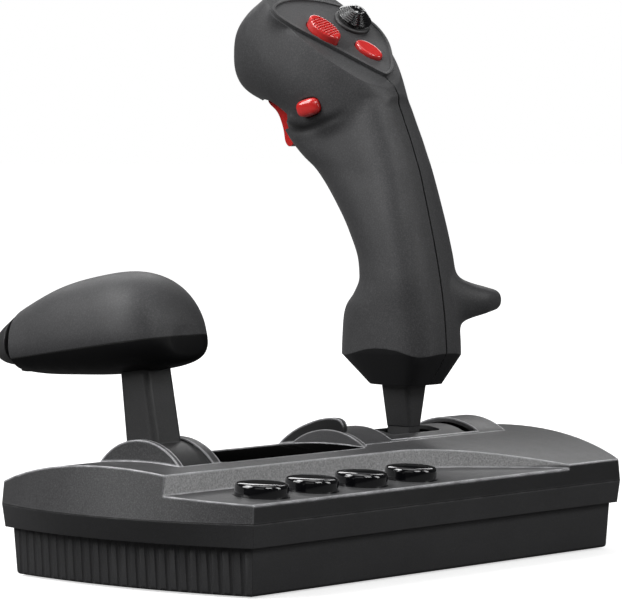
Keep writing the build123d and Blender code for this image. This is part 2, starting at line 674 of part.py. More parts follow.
# head that leans out over the trigger: (y, centre x, half width, low z, high z)
HEAD = [
    (6.0, 64.0, 9.0, 186.0, 208.0), (18.0, 64.0, 17.4, 181.0, 232.0),
    (32.0, 63.2, 22.6, 182.0, 254.0), (47.0, 61.8, 24.8, 187.0, 262.0),
    (62.0, 60.8, 25.0, 196.0, 262.0), (75.0, 60.2, 23.0, 203.5, 256.0),
    (86.0, 60.0, 18.5, 208.5, 247.5), (93.5, 60.0, 10.5, 215.0, 238.0),
]
GRIP_BOSSES = [(2.0, 124.0), (16.0, 168.0)]     # y, z
GRIP_SCREWS = [CLAMP_SCREW] + GRIP_BOSSES
LEFT_BOSS_LENGTHS = (19.6, 17.2)
TRIGGER_PIVOT = (62.0, 208.0)                   # y, z
TRIGGER_PIN_R = 1.5

# thumb panel on the slanted top of the head
panel_plane = Plane(origin=(64, 14.1, 217.0), x_dir=(0.60, -0.15, 0), z_dir=(-0.15, -0.60, 0.78))
PANEL_SEAT = 1.2          # depth of the seat below the panel plane
# outline of the panel on that plane, from its lowest point round by the left
PANEL_OUTLINE = [
    (-1.4, 0.2), (-7.7, 7.2), (-17.6, 18.5), (-27.8, 29.6), (-35.4, 39.6), (-37.2, 47.0),
    (-30.5, 53.4), (-20.0, 55.8), (-7.7, 55.2), (3.0, 51.6), (10.8, 45.6), (15.2, 38.4),
    (16.4, 31.0), (14.8, 21.0), (9.8, 9.6), (4.0, 1.6),
]
HAT_CENTRE = (3.0, 38.2)
# the two oval caps: centre on the panel, turn in degrees, half axes
F3_CENTRE, F3_TURN, F3_HALF_AXES = (-18.7, 30.2), -71, (9.1, 5.5)
F4_CENTRE, F4_TURN, F4_HALF_AXES = (0.0, 17.0), -60, (7.1, 4.7)
CAP_GAP = 0.3
CAP_FLANGE = 1.3
CAP_BASE = -5.2           # underside of the caps, from the panel plane
# seat of the push button on the left side of the head
side_plane = Plane(origin=(40.4, 39.8, 202.6), x_dir=(0.2, -0.97, 0.1), z_dir=(-0.97, -0.2, -0.1))
SMALL_BOARD = -12.4       # underside of the two grip boards, from their planes


def grip_solid(inset):
    """The grip's outside, or its inside when inset is the wall thickness."""
    with BuildPart() as body:
        for z, half_width, near_y, far_y, far_power in COLUMN:
            with BuildSketch(at_z(z)):
                add(egg(half_width - inset, near_y + inset, far_y - inset, 3.0, far_power,
                        centre_x=GRIP_X))
        loft()
        for y, centre_x, half_width, low_z, high_z in HEAD:
            # only the two end stations move inwards along Y
            shift = inset if y < 10 else (-inset if y > 90 else 0)
            with BuildSketch(at_y(y + shift)):
                add(egg(half_width - inset, low_z + inset, high_z - inset, 2.3, 2.4,
                        centre_x=centre_x, split=0.5))
        loft()
        # everything above the thumb panel's seat goes
        cut_shapes(panel_plane.offset(-PANEL_SEAT - inset), CENTRE, 90, Rectangle, 260, 260)
    return body.part


def turned_place(centre, turn):
    return Location((centre[0], centre[1], 0), turn)


def panel_outline(inset):
    """Panel outline moved inwards, each point square to the chord of its neighbours."""
    points, count = [], len(PANEL_OUTLINE)
    for k, (x, y) in enumerate(PANEL_OUTLINE):
        (last_x, last_y), (next_x, next_y) = PANEL_OUTLINE[k - 1], PANEL_OUTLINE[(k + 1) % count]
        dx, dy = next_x - last_x, next_y - last_y
        chord = sqrt(dx * dx + dy * dy)
        points.append((x + inset * dy / chord, y - inset * dx / chord))
    return closed_spline(points)


grip_inside = grip_solid(GRIP_T)

# faceted foot below the collar
with BuildPart() as grip_foot:
    with BuildSketch(at_z(76.0)):
        with BuildLine():
            Polyline((51.5, -9.5), (54.5, -12.3), (73.5, -12.3), (76.5, -9.5), (77, 12.0),
                     (72.5, 17.7), (55.5, 17.7), (51, 12.0), (51.5, -9.5))
        make_face()
    with BuildSketch(at_z(91.0)):
        with BuildLine():
            Polyline((45.4, -17.5), (50.4, -21.9), (77.6, -21.9), (82.6, -17.5), (83.6, 14.0),
                     (73.0, 33.0), (55.0, 33.0), (44.4, 14.0), (45.4, -17.5))
        make_face()
    loft(ruled=True)

# both shells in one, before they are split
with BuildPart() as whole_grip:
    add(grip_solid(0))
    add(grip_foot.part)
    add(grip_inside, mode=Mode.SUBTRACT)
    # clamp block around the tenon of the stick shaft
    raise_shapes(at_z(TENON_Z), [TENON_CENTRE], 27, RectangleRounded, 22, 22, 2)
    cut_shapes(at_z(70), [TENON_CENTRE], 8.6, RectangleRounded, 17.0, 17.4, 2.6)
    cut_shapes(at_z(TENON_Z), [TENON_CENTRE], 40, RectangleRounded, 12.1, 12.1, 1.5)

# mouth for the trigger, below the head
with BuildPart() as grip_mouth:
    with BuildSketch(at_x(GRIP_X - 8.2)):
        with BuildLine():
            Polyline((56, 213.5), (69, 213.5), (82.5, 208.5), (84, 196), (72, 178), (56, 176),
                     (50, 178.5), (50, 205), (56, 213.5))
        make_face()
    extrude(amount=16.4)

# room for the two caps and the hat's neck, through panel and shells
with BuildPart() as panel_openings:
    with BuildSketch(panel_plane.offset(-8)):
        with Locations(turned_place(F3_CENTRE, F3_TURN)):
            Ellipse(F3_HALF_AXES[0] + CAP_GAP, F3_HALF_AXES[1] + CAP_GAP)
        with Locations(turned_place(F4_CENTRE, F4_TURN)):
            Ellipse(F4_HALF_AXES[0] + CAP_GAP, F4_HALF_AXES[1] + CAP_GAP)
        with Locations(HAT_CENTRE):
            Circle(7.4)
    extrude(amount=14)


def finish_grip_shell(side, pin_boss_length, pillar):
    """Openings, trigger pin boss and thumb board pillar of the open shell."""
    add(panel_openings.part, mode=Mode.SUBTRACT)
    cut_shapes(side_plane.offset(4), CENTRE, -12, RectangleRounded, 12.6, 8.6, 3.4)
    raise_shapes(at_x(GRIP_X + side * 8.3), [TRIGGER_PIVOT], side * pin_boss_length, Circle, 3.6)
    cut_shapes(at_x(GRIP_X), [TRIGGER_PIVOT], side * 13.2, Circle, TRIGGER_PIN_R)
    raise_shapes(panel_plane.offset(SMALL_BOARD + BOARD_T), [pillar], 8.5, Circle, 1.8)


# --- left shell
with BuildPart() as grip_left:
    add(whole_grip.part)
    cut_shapes(at_x(GRIP_X), [(20, 160)], 80, Rectangle, 300, 300)
    for centre, length in zip(GRIP_BOSSES, LEFT_BOSS_LENGTHS):
        raise_shapes(at_x(GRIP_X - length), [centre], length, Circle, 3.4)
    for centre in GRIP_SCREWS:
        cut_shapes(at_x(GRIP_X - 13), [centre], 14, Circle, 1.3)
    add(grip_mouth.part, mode=Mode.SUBTRACT)
    finish_grip_shell(side=-1, pin_boss_length=13.0, pillar=(-15.0, 41.5))
    # pillars for the side board, and room for the side button's flange
    raise_shapes(side_plane.offset(SMALL_BOARD + BOARD_T), [(9.0, 0), (-9.0, 0)], 8.8,
                 Circle, 1.2)
    cut_shapes(side_plane.offset(-7.6), CENTRE, 3.25, RectangleRounded, 15.2, 11.2, 4.4)
save(grip_left, "grip_left")

# --- right shell, with the hand rest that stands out from it
# sections of the hand rest: (x, (y, z) of the centre, size in y, size in z, corner radius)
HAND_REST = [(76, (-4, 114.2), 32, 23, 7), (90, (-13, 113.8), 24, 16.4, 5.5),
             (105, (-18.5, 113.2), 13, 9.6, 4.2)]
with BuildPart() as hand_rest:
    for x, centre, size_y, size_z, corner_r in HAND_REST:
        with BuildSketch(at_x(x)):
            with Locations(centre):
                RectangleRounded(size_y, size_z, corner_r)
    loft()

with BuildPart() as grip_right:
    add(whole_grip.part)
    cut_shapes(at_x(GRIP_X), [(20, 160)], -80, Rectangle, 300, 300)
    for centre in GRIP_BOSSES:
        raise_shapes(at_x(GRIP_X), [centre], 18.2, Circle, 4.2)
    add(hand_rest.part)
    # clearing the inside takes the bosses too, so they are raised again
    add(grip_inside, mode=Mode.SUBTRACT)
    for centre in GRIP_BOSSES:
        raise_shapes(at_x(GRIP_X), [centre], 18.2, Circle, 4.2)
    for centre in GRIP_SCREWS:
        cut_shapes(at_x(GRIP_X - 1), [centre], 40, Circle, 1.6)
        cut_shapes(at_x(GRIP_X + 13), [centre], 40, Circle, 2.9)
    add(grip_mouth.part, mode=Mode.SUBTRACT)
    finish_grip_shell(side=1, pin_boss_length=8.5, pillar=(9.0, 26.5))
save(grip_right, "grip_right")

screw_set("grip_screws", at_x(GRIP_X), GRIP_SCREWS,
          head=(13, 2.6, 2.0), shank=(-12.5, 1.25, 26.5), socket=1.1)

# --- thumb panel: plate over the slanted top of the head, with a raised rim
with BuildPart() as thumb_panel:
    with BuildSketch(panel_plane.offset(-PANEL_SEAT)):
        add(panel_outline(0))
    extrude(amount=2.2)
    with BuildSketch(panel_plane.offset(1.0)):
        add(panel_outline(0))
        add(panel_outline(1.3), mode=Mode.SUBTRACT)
        with Locations(HAT_CENTRE):
            Circle(8.9, mode=Mode.SUBTRACT)
    extrude(amount=0.6)
    add(panel_openings.part, mode=Mode.SUBTRACT)
save(thumb_panel, "thumb_panel")


def top_edges(piece, plane):
    """Edges of the face that lies farthest along the plane's normal."""
    return piece.faces().sort_by(Axis(plane.origin, plane.z_dir))[-1].edges()


def thumb_cap(name, centre, turn, half_axes, rise, groove_count):
    """Oval push cap with a flange that stops under the shell, grooved across its top."""
    place = turned_place(centre, turn)
    long_half, short_half = half_axes
    base = panel_plane.offset(CAP_BASE)
    with BuildPart() as cap:
        raise_shapes(base, [place], 1.4, Ellipse, long_half + CAP_FLANGE, short_half + CAP_FLANGE)
        raise_shapes(base, [place], rise - CAP_BASE, Ellipse, long_half, short_half)
        fillet(top_edges(cap, panel_plane), 1.1)
        for k in range(groove_count):
            with BuildSketch(panel_plane.offset(rise - 0.55)):
                with Locations(place):
                    with Locations(((k - (groove_count - 1) / 2) * 1.45, 0)):
                        Rectangle(0.6, 2 * short_half + 2)
            extrude(amount=2, mode=Mode.SUBTRACT)
    save(cap, name)


thumb_cap("button_f3", F3_CENTRE, F3_TURN, F3_HALF_AXES, rise=5.4, groove_count=9)
thumb_cap("button_f4", F4_CENTRE, F4_TURN, F4_HALF_AXES, rise=3.0, groove_count=0)

# --- push button on the left side of the head
with BuildPart() as button_f2:
    raise_shapes(side_plane.offset(-5.6), CENTRE, 1.2, RectangleRounded, 14.6, 10.6, 4.2)
    raise_shapes(side_plane.offset(-5.6), CENTRE, 8.2, RectangleRounded, 12.0, 8.0, 3.1)
    fillet(top_edges(button_f2, side_plane), 1.2)
save(button_f2, "button_f2")

# --- boards behind the thumb panel and the side button, with square switches
with BuildPart() as thumb_board:
    with BuildSketch(panel_plane.offset(SMALL_BOARD)):
        Polygon((-26, 42), (-21, 28), (-9, 14), (0, 8), (7, 13), (10, 24), (8, 34), (-2, 45),
                (-16, 48), align=None)
    extrude(amount=BOARD_T)
    raise_shapes(panel_plane.offset(SMALL_BOARD + BOARD_T), [F3_CENTRE, F4_CENTRE], 3.6,
                 Rectangle, 6, 6)
save(thumb_board, "thumb_board")

with BuildPart() as side_board:
    raise_shapes(side_plane.offset(SMALL_BOARD), CENTRE, BOARD_T, Rectangle, 21, 11)
    raise_shapes(side_plane.offset(SMALL_BOARD + BOARD_T), CENTRE, 3.4, Rectangle, 6, 6)
save(side_board, "side_board")

# --- thumb hat: fixed bezel, a cross-pinned ring and the ribbed cap
hat = Plane(origin=panel_plane.from_local_coords((HAT_CENTRE[0], HAT_CENTRE[1], 0)),
            x_dir=panel_plane.x_dir, z_dir=panel_plane.z_dir)
hat_section = upright_section(hat)
HAT_PIVOT = -4.6          # height of both hat axes, from the panel plane
HAT_PIN_R = 0.7


def hat_across_x(x):
    """Plane square to the hat's x axis, centred on the pivot height."""
    return Plane(origin=hat.from_local_coords((x, 0, HAT_PIVOT)), x_dir=hat.y_dir, z_dir=hat.x_dir)


def hat_across_y(y):
    """Plane square to the hat's y axis, centred on the pivot height."""
    return Plane(origin=hat.from_local_coords((0, y, HAT_PIVOT)), x_dir=hat.x_dir, z_dir=hat.y_dir)


with BuildPart() as hat_bezel:
    with BuildSketch(hat_section):
        Polygon((5.8, -3.6), (7.2, -3.6), (7.2, 1.0), (8.7, 1.0), (8.8, 1.6), (8.7, 2.2),
                (8.2, 2.6), (7.5, 2.8), (4.6, 2.8), (4.6, 1.6), (5.8, 1.6), align=None)
    revolve(axis=Axis(hat.origin, hat.z_dir))
    raise_shapes(hat.offset(-6.4), [(0, 6.3), (0, -6.3)], 3.4, Rectangle, 3.6, 1.6)
    cut_shapes(hat_across_y(-12), CENTRE, 24, Circle, 0.85)
save(hat_bezel, "hat_bezel")

with BuildPart() as hat_ring:
    with BuildSketch(hat.offset(HAT_PIVOT - 1.2)):
        Circle(4.8)
        Circle(3.1, mode=Mode.SUBTRACT)
    extrude(amount=2.4)
    for y in (4.4, -7.0):
        raise_shapes(hat_across_y(y), CENTRE, 2.6, Circle, 0.8)
    cut_shapes(hat_across_x(-12), CENTRE, 24, Circle, HAT_PIN_R + RUN)
save(hat_ring, "hat_ring")

with BuildPart() as hat_cap:
    with BuildSketch(hat_section):
        Polygon((0, -7.2), (2.2, -7.2), (2.2, 4.2), (7.9, 4.2), (8.2, 4.5), (8.2, 5.0),
                (7.5, 5.3), (7.5, 5.7), (6.7, 6.0), (6.7, 6.4), (5.9, 6.7), (5.9, 7.1),
                (5.1, 7.4), (5.1, 7.8), (4.3, 8.1), (4.3, 8.5), (3.5, 8.8), (3.0, 8.9),
                (2.2, 8.3), (0, 8.1), align=None)
    revolve(axis=Axis(hat.origin, hat.z_dir))
    cut_shapes(hat_across_x(-12), CENTRE, 24, Circle, HAT_PIN_R)
save(hat_cap, "hat_cap")

with BuildPart() as hat_pin:
    raise_shapes(hat_across_x(-4.6), CENTRE, 9.2, Circle, HAT_PIN_R)
save(hat_pin, "hat_pin")

# --- trigger, hung on a cross pin inside the mouth below the head
TRIGGER_Y, TRIGGER_Z = TRIGGER_PIVOT
TRIGGER_W = 14.8
TRIGGER_TOP = (TRIGGER_Y + 1.0, TRIGGER_Z + 4.0)
with BuildPart() as trigger:
    with BuildSketch(at_x(GRIP_X - TRIGGER_W / 2)):
        with BuildLine():
            Spline(TRIGGER_TOP, (70, 211.0), (77.2, 208.6), (78.0, 206.0), (73.6, 201.4),
                   (70.0, 196.0), (68.2, 190.2), (67.0, 185.8), (65.0, 184.3), (63.0, 185.4),
                   (62.2, 189.5), (62.4, 195.0), (62.4, 200.0), (61.2, 203.6))
            Line((61.2, 203.6), (58.6, 205.4))
            ThreePointArc((58.6, 205.4), (58.2, 209.8), TRIGGER_TOP)
        make_face()
    extrude(amount=TRIGGER_W)
    cut_shapes(at_x(GRIP_X - 9), [TRIGGER_PIVOT], 18, Circle, TRIGGER_PIN_R + RUN)
    # room for the spring
    cut_shapes(at_x(GRIP_X - 3.2), [(TRIGGER_Y - 1.4, TRIGGER_Z + 0.6)], 6.4, Rectangle, 10, 8.4)
save(trigger, "trigger")

with BuildPart() as trigger_pin:
    raise_shapes(at_x(GRIP_X - 13), [TRIGGER_PIVOT], 26, Circle, TRIGGER_PIN_R)
save(trigger_pin, "trigger_pin")

spring("trigger_spring", (GRIP_X - 2.4, TRIGGER_Y, TRIGGER_Z), (1, 0, 0),
       radius=2.5, pitch=0.95, turns=5, wire_r=0.35)

# ================================================================ THROTTLE
# the lever's frame: origin in the middle of the drum, z up along the lever
lever = Plane(origin=(THROTTLE_X, THROTTLE_Y, THROTTLE_Z), x_dir=(1, 0, 0),
              z_dir=(0, sin(radians(LEAN)), cos(radians(LEAN))))
# hand pod in that frame: (y, half width, low z, high z)
POD = [
    (-26.5, 10.0, 63.0, 76.0), (-24.5, 15.5, 60.6, 84.5), (-19.0, 20.8, 58.8, 93.0),
    (-9.0, 24.2, 58.2, 99.6), (6.0, 25.0, 58.4, 102.0), (24.0, 24.4, 59.7, 101.4),
    (41.0, 23.0, 61.6, 98.8), (55.0, 21.4, 63.8, 94.6), (65.0, 19.6, 66.0, 89.8),
]
POD_T = 2.4
POD_SEAM = 71.0
# rudder rocker in the same frame and columns
ROCKER = [(58.5, 20.7, 67.9, 92.4), (64.5, 19.3, 68.0, 89.2), (69.5, 16.8, 69.6, 86.4),
          (72.5, 12.5, 72.0, 83.2)]
ROCKER_PIN = (0, 62.5)
ROCKER_PIN_R = 1.3
STALK = (0, -1.2)         # centre of the stalk, x and y in the lever's frame
HEAD_SCREWS = [(0, STALK[1] - 5), (0, STALK[1] + 5)]


def lever_section(y):
    """Plane across the lever's y axis; its local axes are the lever's x and z."""
    return Plane(origin=lever.from_local_coords((0, y, 0)), x_dir=(1, 0, 0), z_dir=-lever.y_dir)


def pod_solid(inset):
    """The pod's outside, or its inside when inset is the wall thickness."""
    with BuildPart() as body:
        for k, (y, half_width, low_z, high_z) in enumerate(POD):
            # only the two end stations move inwards along the lever's y axis
            shift = inset if k == 0 else (-inset if k == len(POD) - 1 else 0)
            with BuildSketch(lever_section(y + shift)):
                add(egg(half_width - inset, low_z + inset, high_z - inset, 2.5, 2.3, split=0.35))
        loft()
    return body.part


pod_outside = pod_solid(0)
pod_inside = pod_solid(POD_T)

# --- arm: drum hollowed from both sides around a thin web, and the stalk
with BuildPart() as throttle_arm:
    raise_shapes(at_x(THROTTLE_X - DRUM_W / 2), [THROTTLE_AXIS], DRUM_W, Circle, DRUM_R)
    for x in (THROTTLE_X - DRUM_W / 2 - 1, THROTTLE_X + 2):
        with BuildSketch(at_x(x)):
            with Locations(THROTTLE_AXIS):
                Circle(DRUM_R - 2.6)
                Circle(7.0, mode=Mode.SUBTRACT)
        extrude(amount=DRUM_W / 2 - 1, mode=Mode.SUBTRACT)
    with BuildSketch(lever.offset(24)):
        with Locations(STALK):
            RectangleRounded(DRUM_W, 18.0, 3.0)
    with BuildSketch(lever.offset(62)):
        with Locations(STALK):
            RectangleRounded(DRUM_W - 0.6, 15.6, 3.0)
    loft()
    cut_shapes(lever.offset(50), HEAD_SCREWS, 14, Circle, 1.2)
    cut_shapes(at_x(-130), [THROTTLE_AXIS], 50, Circle, AXLE_R)
save(throttle_arm, "throttle_arm")

chamfered_pins("throttle_axle", THROTTLE_AXIS, AXLE_R, (at_x(-121.0), 36.5))

with BuildPart() as throttle_washer:
    with BuildSketch(at_x(-96.4)):
        with Locations(THROTTLE_AXIS):
            Circle(6.4)
            Circle(AXLE_R + RUN, mode=Mode.SUBTRACT)
    extrude(amount=1.55)
save(throttle_washer, "throttle_washer")

potentiometer("throttle_potentiometer", at_x(-90.3), THROTTLE_AXIS, radius=8.0, length=7.0,
              bore_r=AXLE_R + RUN, bore_depth=6.2, tab_drop=8)

# --- lower half of the pod
with BuildPart() as throttle_head_lower:
    add(pod_outside)
    add(pod_inside, mode=Mode.SUBTRACT)
    # block with the socket for the stalk
    raise_shapes(lever.offset(58.5), [STALK], 6.5, Rectangle, 24, 22)
    add(pod_outside, mode=Mode.INTERSECT)
    cut_shapes(lever.offset(50), [STALK], 12.0, RectangleRounded, DRUM_W, 15.9, 3.0)
    cut_shapes(lever.offset(50), HEAD_SCREWS, 20, Circle, 1.6)
    cut_shapes(lever.offset(POD_SEAM), CENTRE, 60, Rectangle, 200, 260)
    # seat for the rudder rocker
    cut_shapes(lever.offset(67.5), [(0, 68.0)], 30, Rectangle, 60, 20)
    # block that holds the rocker pin
    raise_shapes(lever.offset(60.5), [(0, 61.0)], 7.0, Rectangle, 9, 9)
    add(pod_outside, mode=Mode.INTERSECT)
    cut_shapes(lever.offset(62.0), [ROCKER_PIN], 24, Circle, ROCKER_PIN_R)
save(throttle_head_lower, "throttle_head_lower")

# --- upper half of the pod
with BuildPart() as throttle_head_upper:
    add(pod_outside)
    add(pod_inside, mode=Mode.SUBTRACT)
    cut_shapes(lever.offset(POD_SEAM), CENTRE, -60, Rectangle, 200, 260)
    cut_shapes(lever.offset(60), [(0, 68.0)], 40, Rectangle, 60, 20)
save(throttle_head_upper, "throttle_head_upper")

screw_set("throttle_head_screws", lever, HEAD_SCREWS,
          head=(65, 2.6, 1.8), shank=(51, 1.15, 14.5), socket=1.1)

# --- rudder rocker on the far end of the pod, and its pin
with BuildPart() as rudder_rocker:
    for y, half_width, low_z, high_z in ROCKER:
        with BuildSketch(lever_section(y)):
            add(egg(half_width, low_z, high_z, 2.7, 2.4, split=0.4))
    loft()
    # the face towards the pod is relieved so the rocker can tip either way
    for side in (-1, 1):
        with BuildSketch(lever.offset(60)):
            Polygon((side * 1.0, 58.0), (side * 24.0, 61.6), (side * 24.0, 50.0),
                    (side * 1.0, 50.0), align=None)
        extrude(amount=40, mode=Mode.SUBTRACT)
    cut_shapes(lever.offset(60), [ROCKER_PIN], 27, Circle, ROCKER_PIN_R + RUN)
save(rudder_rocker, "rudder_rocker")

with BuildPart() as rocker_pin:
    raise_shapes(lever.offset(65.8), [ROCKER_PIN], 20.2, Circle, ROCKER_PIN_R)
save(rocker_pin, "rocker_pin")
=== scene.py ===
import bpy
import bmesh
import json
import math
import numpy as np
from mathutils import Vector, Matrix

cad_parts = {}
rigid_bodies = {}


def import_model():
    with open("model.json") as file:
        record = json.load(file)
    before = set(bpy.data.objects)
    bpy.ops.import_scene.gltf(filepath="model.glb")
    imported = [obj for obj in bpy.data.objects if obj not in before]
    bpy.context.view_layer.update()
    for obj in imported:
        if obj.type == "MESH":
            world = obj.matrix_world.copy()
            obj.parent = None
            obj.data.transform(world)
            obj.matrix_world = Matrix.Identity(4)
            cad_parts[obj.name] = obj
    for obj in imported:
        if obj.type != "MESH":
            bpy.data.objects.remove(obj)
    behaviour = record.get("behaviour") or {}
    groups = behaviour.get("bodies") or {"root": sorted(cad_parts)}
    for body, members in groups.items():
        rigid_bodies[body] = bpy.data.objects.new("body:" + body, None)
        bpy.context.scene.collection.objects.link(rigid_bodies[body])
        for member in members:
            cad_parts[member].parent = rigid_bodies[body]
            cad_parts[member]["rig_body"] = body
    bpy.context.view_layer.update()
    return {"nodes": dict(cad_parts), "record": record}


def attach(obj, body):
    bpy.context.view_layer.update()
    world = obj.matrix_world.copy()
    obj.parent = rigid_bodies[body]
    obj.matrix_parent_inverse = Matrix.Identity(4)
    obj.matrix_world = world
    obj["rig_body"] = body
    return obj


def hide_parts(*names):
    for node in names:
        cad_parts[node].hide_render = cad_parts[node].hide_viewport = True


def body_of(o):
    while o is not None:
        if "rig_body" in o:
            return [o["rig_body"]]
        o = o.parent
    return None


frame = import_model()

MM = 0.001
rng = np.random.default_rng(7)


# ------------------------------------------------------------------ materials
class Nodes:
    """Small helper for building node materials."""

    def __init__(self, name):
        self.mat = bpy.data.materials.new(name)
        self.mat.use_nodes = True
        self.t = self.mat.node_tree
        self.bsdf = self.t.nodes["Principled BSDF"]
        self.geo = self.add("ShaderNodeTexCoord").outputs["Object"]

    def add(self, kind, **kw):
        n = self.t.nodes.new(kind)
        for k, v in kw.items():
            setattr(n, k, v)
        return n

    def link(self, a, b):
        self.t.links.new(a, b)

    def noise(self, scale, detail=4.0, rough=0.5, vec=None):
        n = self.add("ShaderNodeTexNoise")
        n.inputs["Scale"].default_value = scale
        n.inputs["Detail"].default_value = detail
        n.inputs["Roughness"].default_value = rough
        self.link(vec or self.geo, n.inputs["Vector"])
        return n.outputs["Fac"]

    def ramp(self, src, lo, hi, a, b):
        n = self.add("ShaderNodeMapRange")
        n.inputs["From Min"].default_value = lo
        n.inputs["From Max"].default_value = hi
        n.inputs["To Min"].default_value = a
        n.inputs["To Max"].default_value = b
        self.link(src, n.inputs["Value"])
        return n.outputs["Result"]

    def mix(self, fac, a, b):
        n = self.add("ShaderNodeMix", data_type="RGBA")
        if isinstance(fac, (int, float)):
            n.inputs[0].default_value = fac
        else:
            self.link(fac, n.inputs[0])
        for s, v in ((6, a), (7, b)):
            if isinstance(v, (tuple, list)):
                n.inputs[s].default_value = (*v[:3], 1.0)
            else:
                self.link(v, n.inputs[s])
        return n.outputs[2]

    def math(self, op, a, b=0.0):
        n = self.add("ShaderNodeMath", operation=op)
        for s, v in ((0, a), (1, b)):
            if isinstance(v, (int, float)):
                n.inputs[s].default_value = v
            else:
                self.link(v, n.inputs[s])
        return n.outputs[0]

    def bump(self, height, strength, distance, normal=None):
        n = self.add("ShaderNodeBump")
        n.inputs["Strength"].default_value = strength
        n.inputs["Distance"].default_value = distance
        self.link(height, n.inputs["Height"])
        if normal is not None:
            self.link(normal, n.inputs["Normal"])
        return n.outputs["Normal"]


def plastic(name, colour, rough, grain=0.00003, grain_scale=5200.0, spread=0.10, bevel=0.0005, edge_lightening=0.25, coat=0.0, speck=0.0, sheen=0.0, spec=0.5, ior=1.5, mottle=0.0, zone=None, edge_gain=1.9, pebble_scale=2300.0, holes=False):
    """Moulded plastic: pebble grain, cloudy tone, uneven polish, painted highlight lightening the upward-facing edges.
    """
    m = Nodes(name)
    cloud = m.noise(38.0, 5.0, 0.6)
    fine = m.noise(900.0, 3.0, 0.6)
    grains = m.noise(grain_scale, 2.0, 0.5)
    dark = tuple(c * (1 - spread) for c in colour)
    light = tuple(min(1.0, c * (1 + spread)) for c in colour)
    col = m.mix(m.ramp(cloud, 0.3, 0.7, 0, 1), dark, light)
    col = m.mix(m.ramp(fine, 0.35, 0.75, 0.0, 0.35), col, light)
    if speck:
        dots = m.ramp(m.noise(2600.0, 1.0, 0.5), 0.60, 0.74, 0.0, speck)
        col = m.mix(dots, col, tuple(min(1.0, c * 2.3 + 0.015) for c in colour))
    if mottle:
        # the coarse pebble of a spark-eroded mould, light and dark by turns
        pebble = m.noise(pebble_scale, 2.0, 0.6)
        col = m.mix(m.ramp(pebble, 0.36, 0.50, mottle, 0.0), col, tuple(c * 0.35 for c in colour))
        col = m.mix(m.ramp(pebble, 0.52, 0.70, 0.0, mottle), col, tuple(min(1.0, c * 2.4 + 0.01) for c in colour))
    if zone:
        col = zone(m, col)
    # painted highlight along edges: a light band where the bevel normal turns away from the face, on upward-facing
    # edges only
    rb = m.add("ShaderNodeBevel", samples=4)
    rb.inputs["Radius"].default_value = bevel
    wide = m.add("ShaderNodeBevel", samples=6)
    wide.inputs["Radius"].default_value = bevel * 2.2
    g = m.add("ShaderNodeNewGeometry")
    dot = m.add("ShaderNodeVectorMath", operation="DOT_PRODUCT")
    m.link(wide.outputs["Normal"], dot.inputs[0])
    m.link(g.outputs["Normal"], dot.inputs[1])
    edge = m.ramp(dot.outputs["Value"], 0.9975, 0.965, 0.0, 1.0)
    up = m.add("ShaderNodeSeparateXYZ")
    m.link(wide.outputs["Normal"], up.inputs[0])
    edge = m.math("MULTIPLY", edge, m.ramp(up.outputs["Z"], 0.08, 0.30, 0.05, 1.0))
    # the painted edge highlight is left off the rims of the deck's button holes
    if holes:
        q = m.add("ShaderNodeSeparateXYZ")
        m.link(m.geo, q.inputs[0])
        ring = m.ramp(m.math("ABSOLUTE", m.math("ADD", q.outputs["Y"], 0.054)), 0.0126, 0.0132, 1.0, 0.0)
        ring = m.math("MULTIPLY", ring, m.ramp(m.math("ABSOLUTE", m.math("ADD", q.outputs["X"], 0.0535)), 0.0640, 0.0650, 1.0, 0.0))
        edge = m.math("MULTIPLY", edge, m.math("SUBTRACT", 1.0, ring))
    # painted edge highlight, broken up by noise; it lightens the colour and lowers the roughness
    painted_edge_highlight = m.math("MULTIPLY", edge, m.ramp(m.noise(150.0, 3.0), 0.35, 0.7, edge_lightening * 0.45, edge_lightening))
    col = m.mix(painted_edge_highlight, col, tuple(min(1.0, c * edge_gain + 0.03) for c in colour))
    m.link(col, m.bsdf.inputs["Base Color"])
    r = m.ramp(m.noise(70.0, 4.0, 0.65), 0.3, 0.7, rough * 0.88, min(1.0, rough * 1.12))
    r = m.math("SUBTRACT", r, m.math("MULTIPLY", painted_edge_highlight, 0.12))
    m.link(r, m.bsdf.inputs["Roughness"])
    n = m.bump(grains, 0.7, grain, rb.outputs["Normal"])
    m.link(n, m.bsdf.inputs["Normal"])
    m.bsdf.inputs["Specular IOR Level"].default_value = spec
    m.bsdf.inputs["IOR"].default_value = ior
    m.bsdf.inputs["Coat Weight"].default_value = coat
    m.bsdf.inputs["Coat Roughness"].default_value = 0.06
    if sheen:
        m.bsdf.inputs["Sheen Weight"].default_value = sheen
        m.bsdf.inputs["Sheen Roughness"].default_value = 0.4
    return m.mat


def metal(name, colour, rough):
    m = Nodes(name)
    col = m.mix(m.ramp(m.noise(300.0, 4.0), 0.3, 0.7, 0, 1), tuple(c * 0.8 for c in colour), colour)
    m.link(col, m.bsdf.inputs["Base Color"])
    m.bsdf.inputs["Metallic"].default_value = 1.0
    m.link(m.ramp(m.noise(900.0, 3.0), 0.3, 0.7, rough * 0.8, rough * 1.3), m.bsdf.inputs["Roughness"])
    m.link(m.bump(m.noise(2500.0, 2.0), 0.4, 0.00002), m.bsdf.inputs["Normal"])
    return m.mat


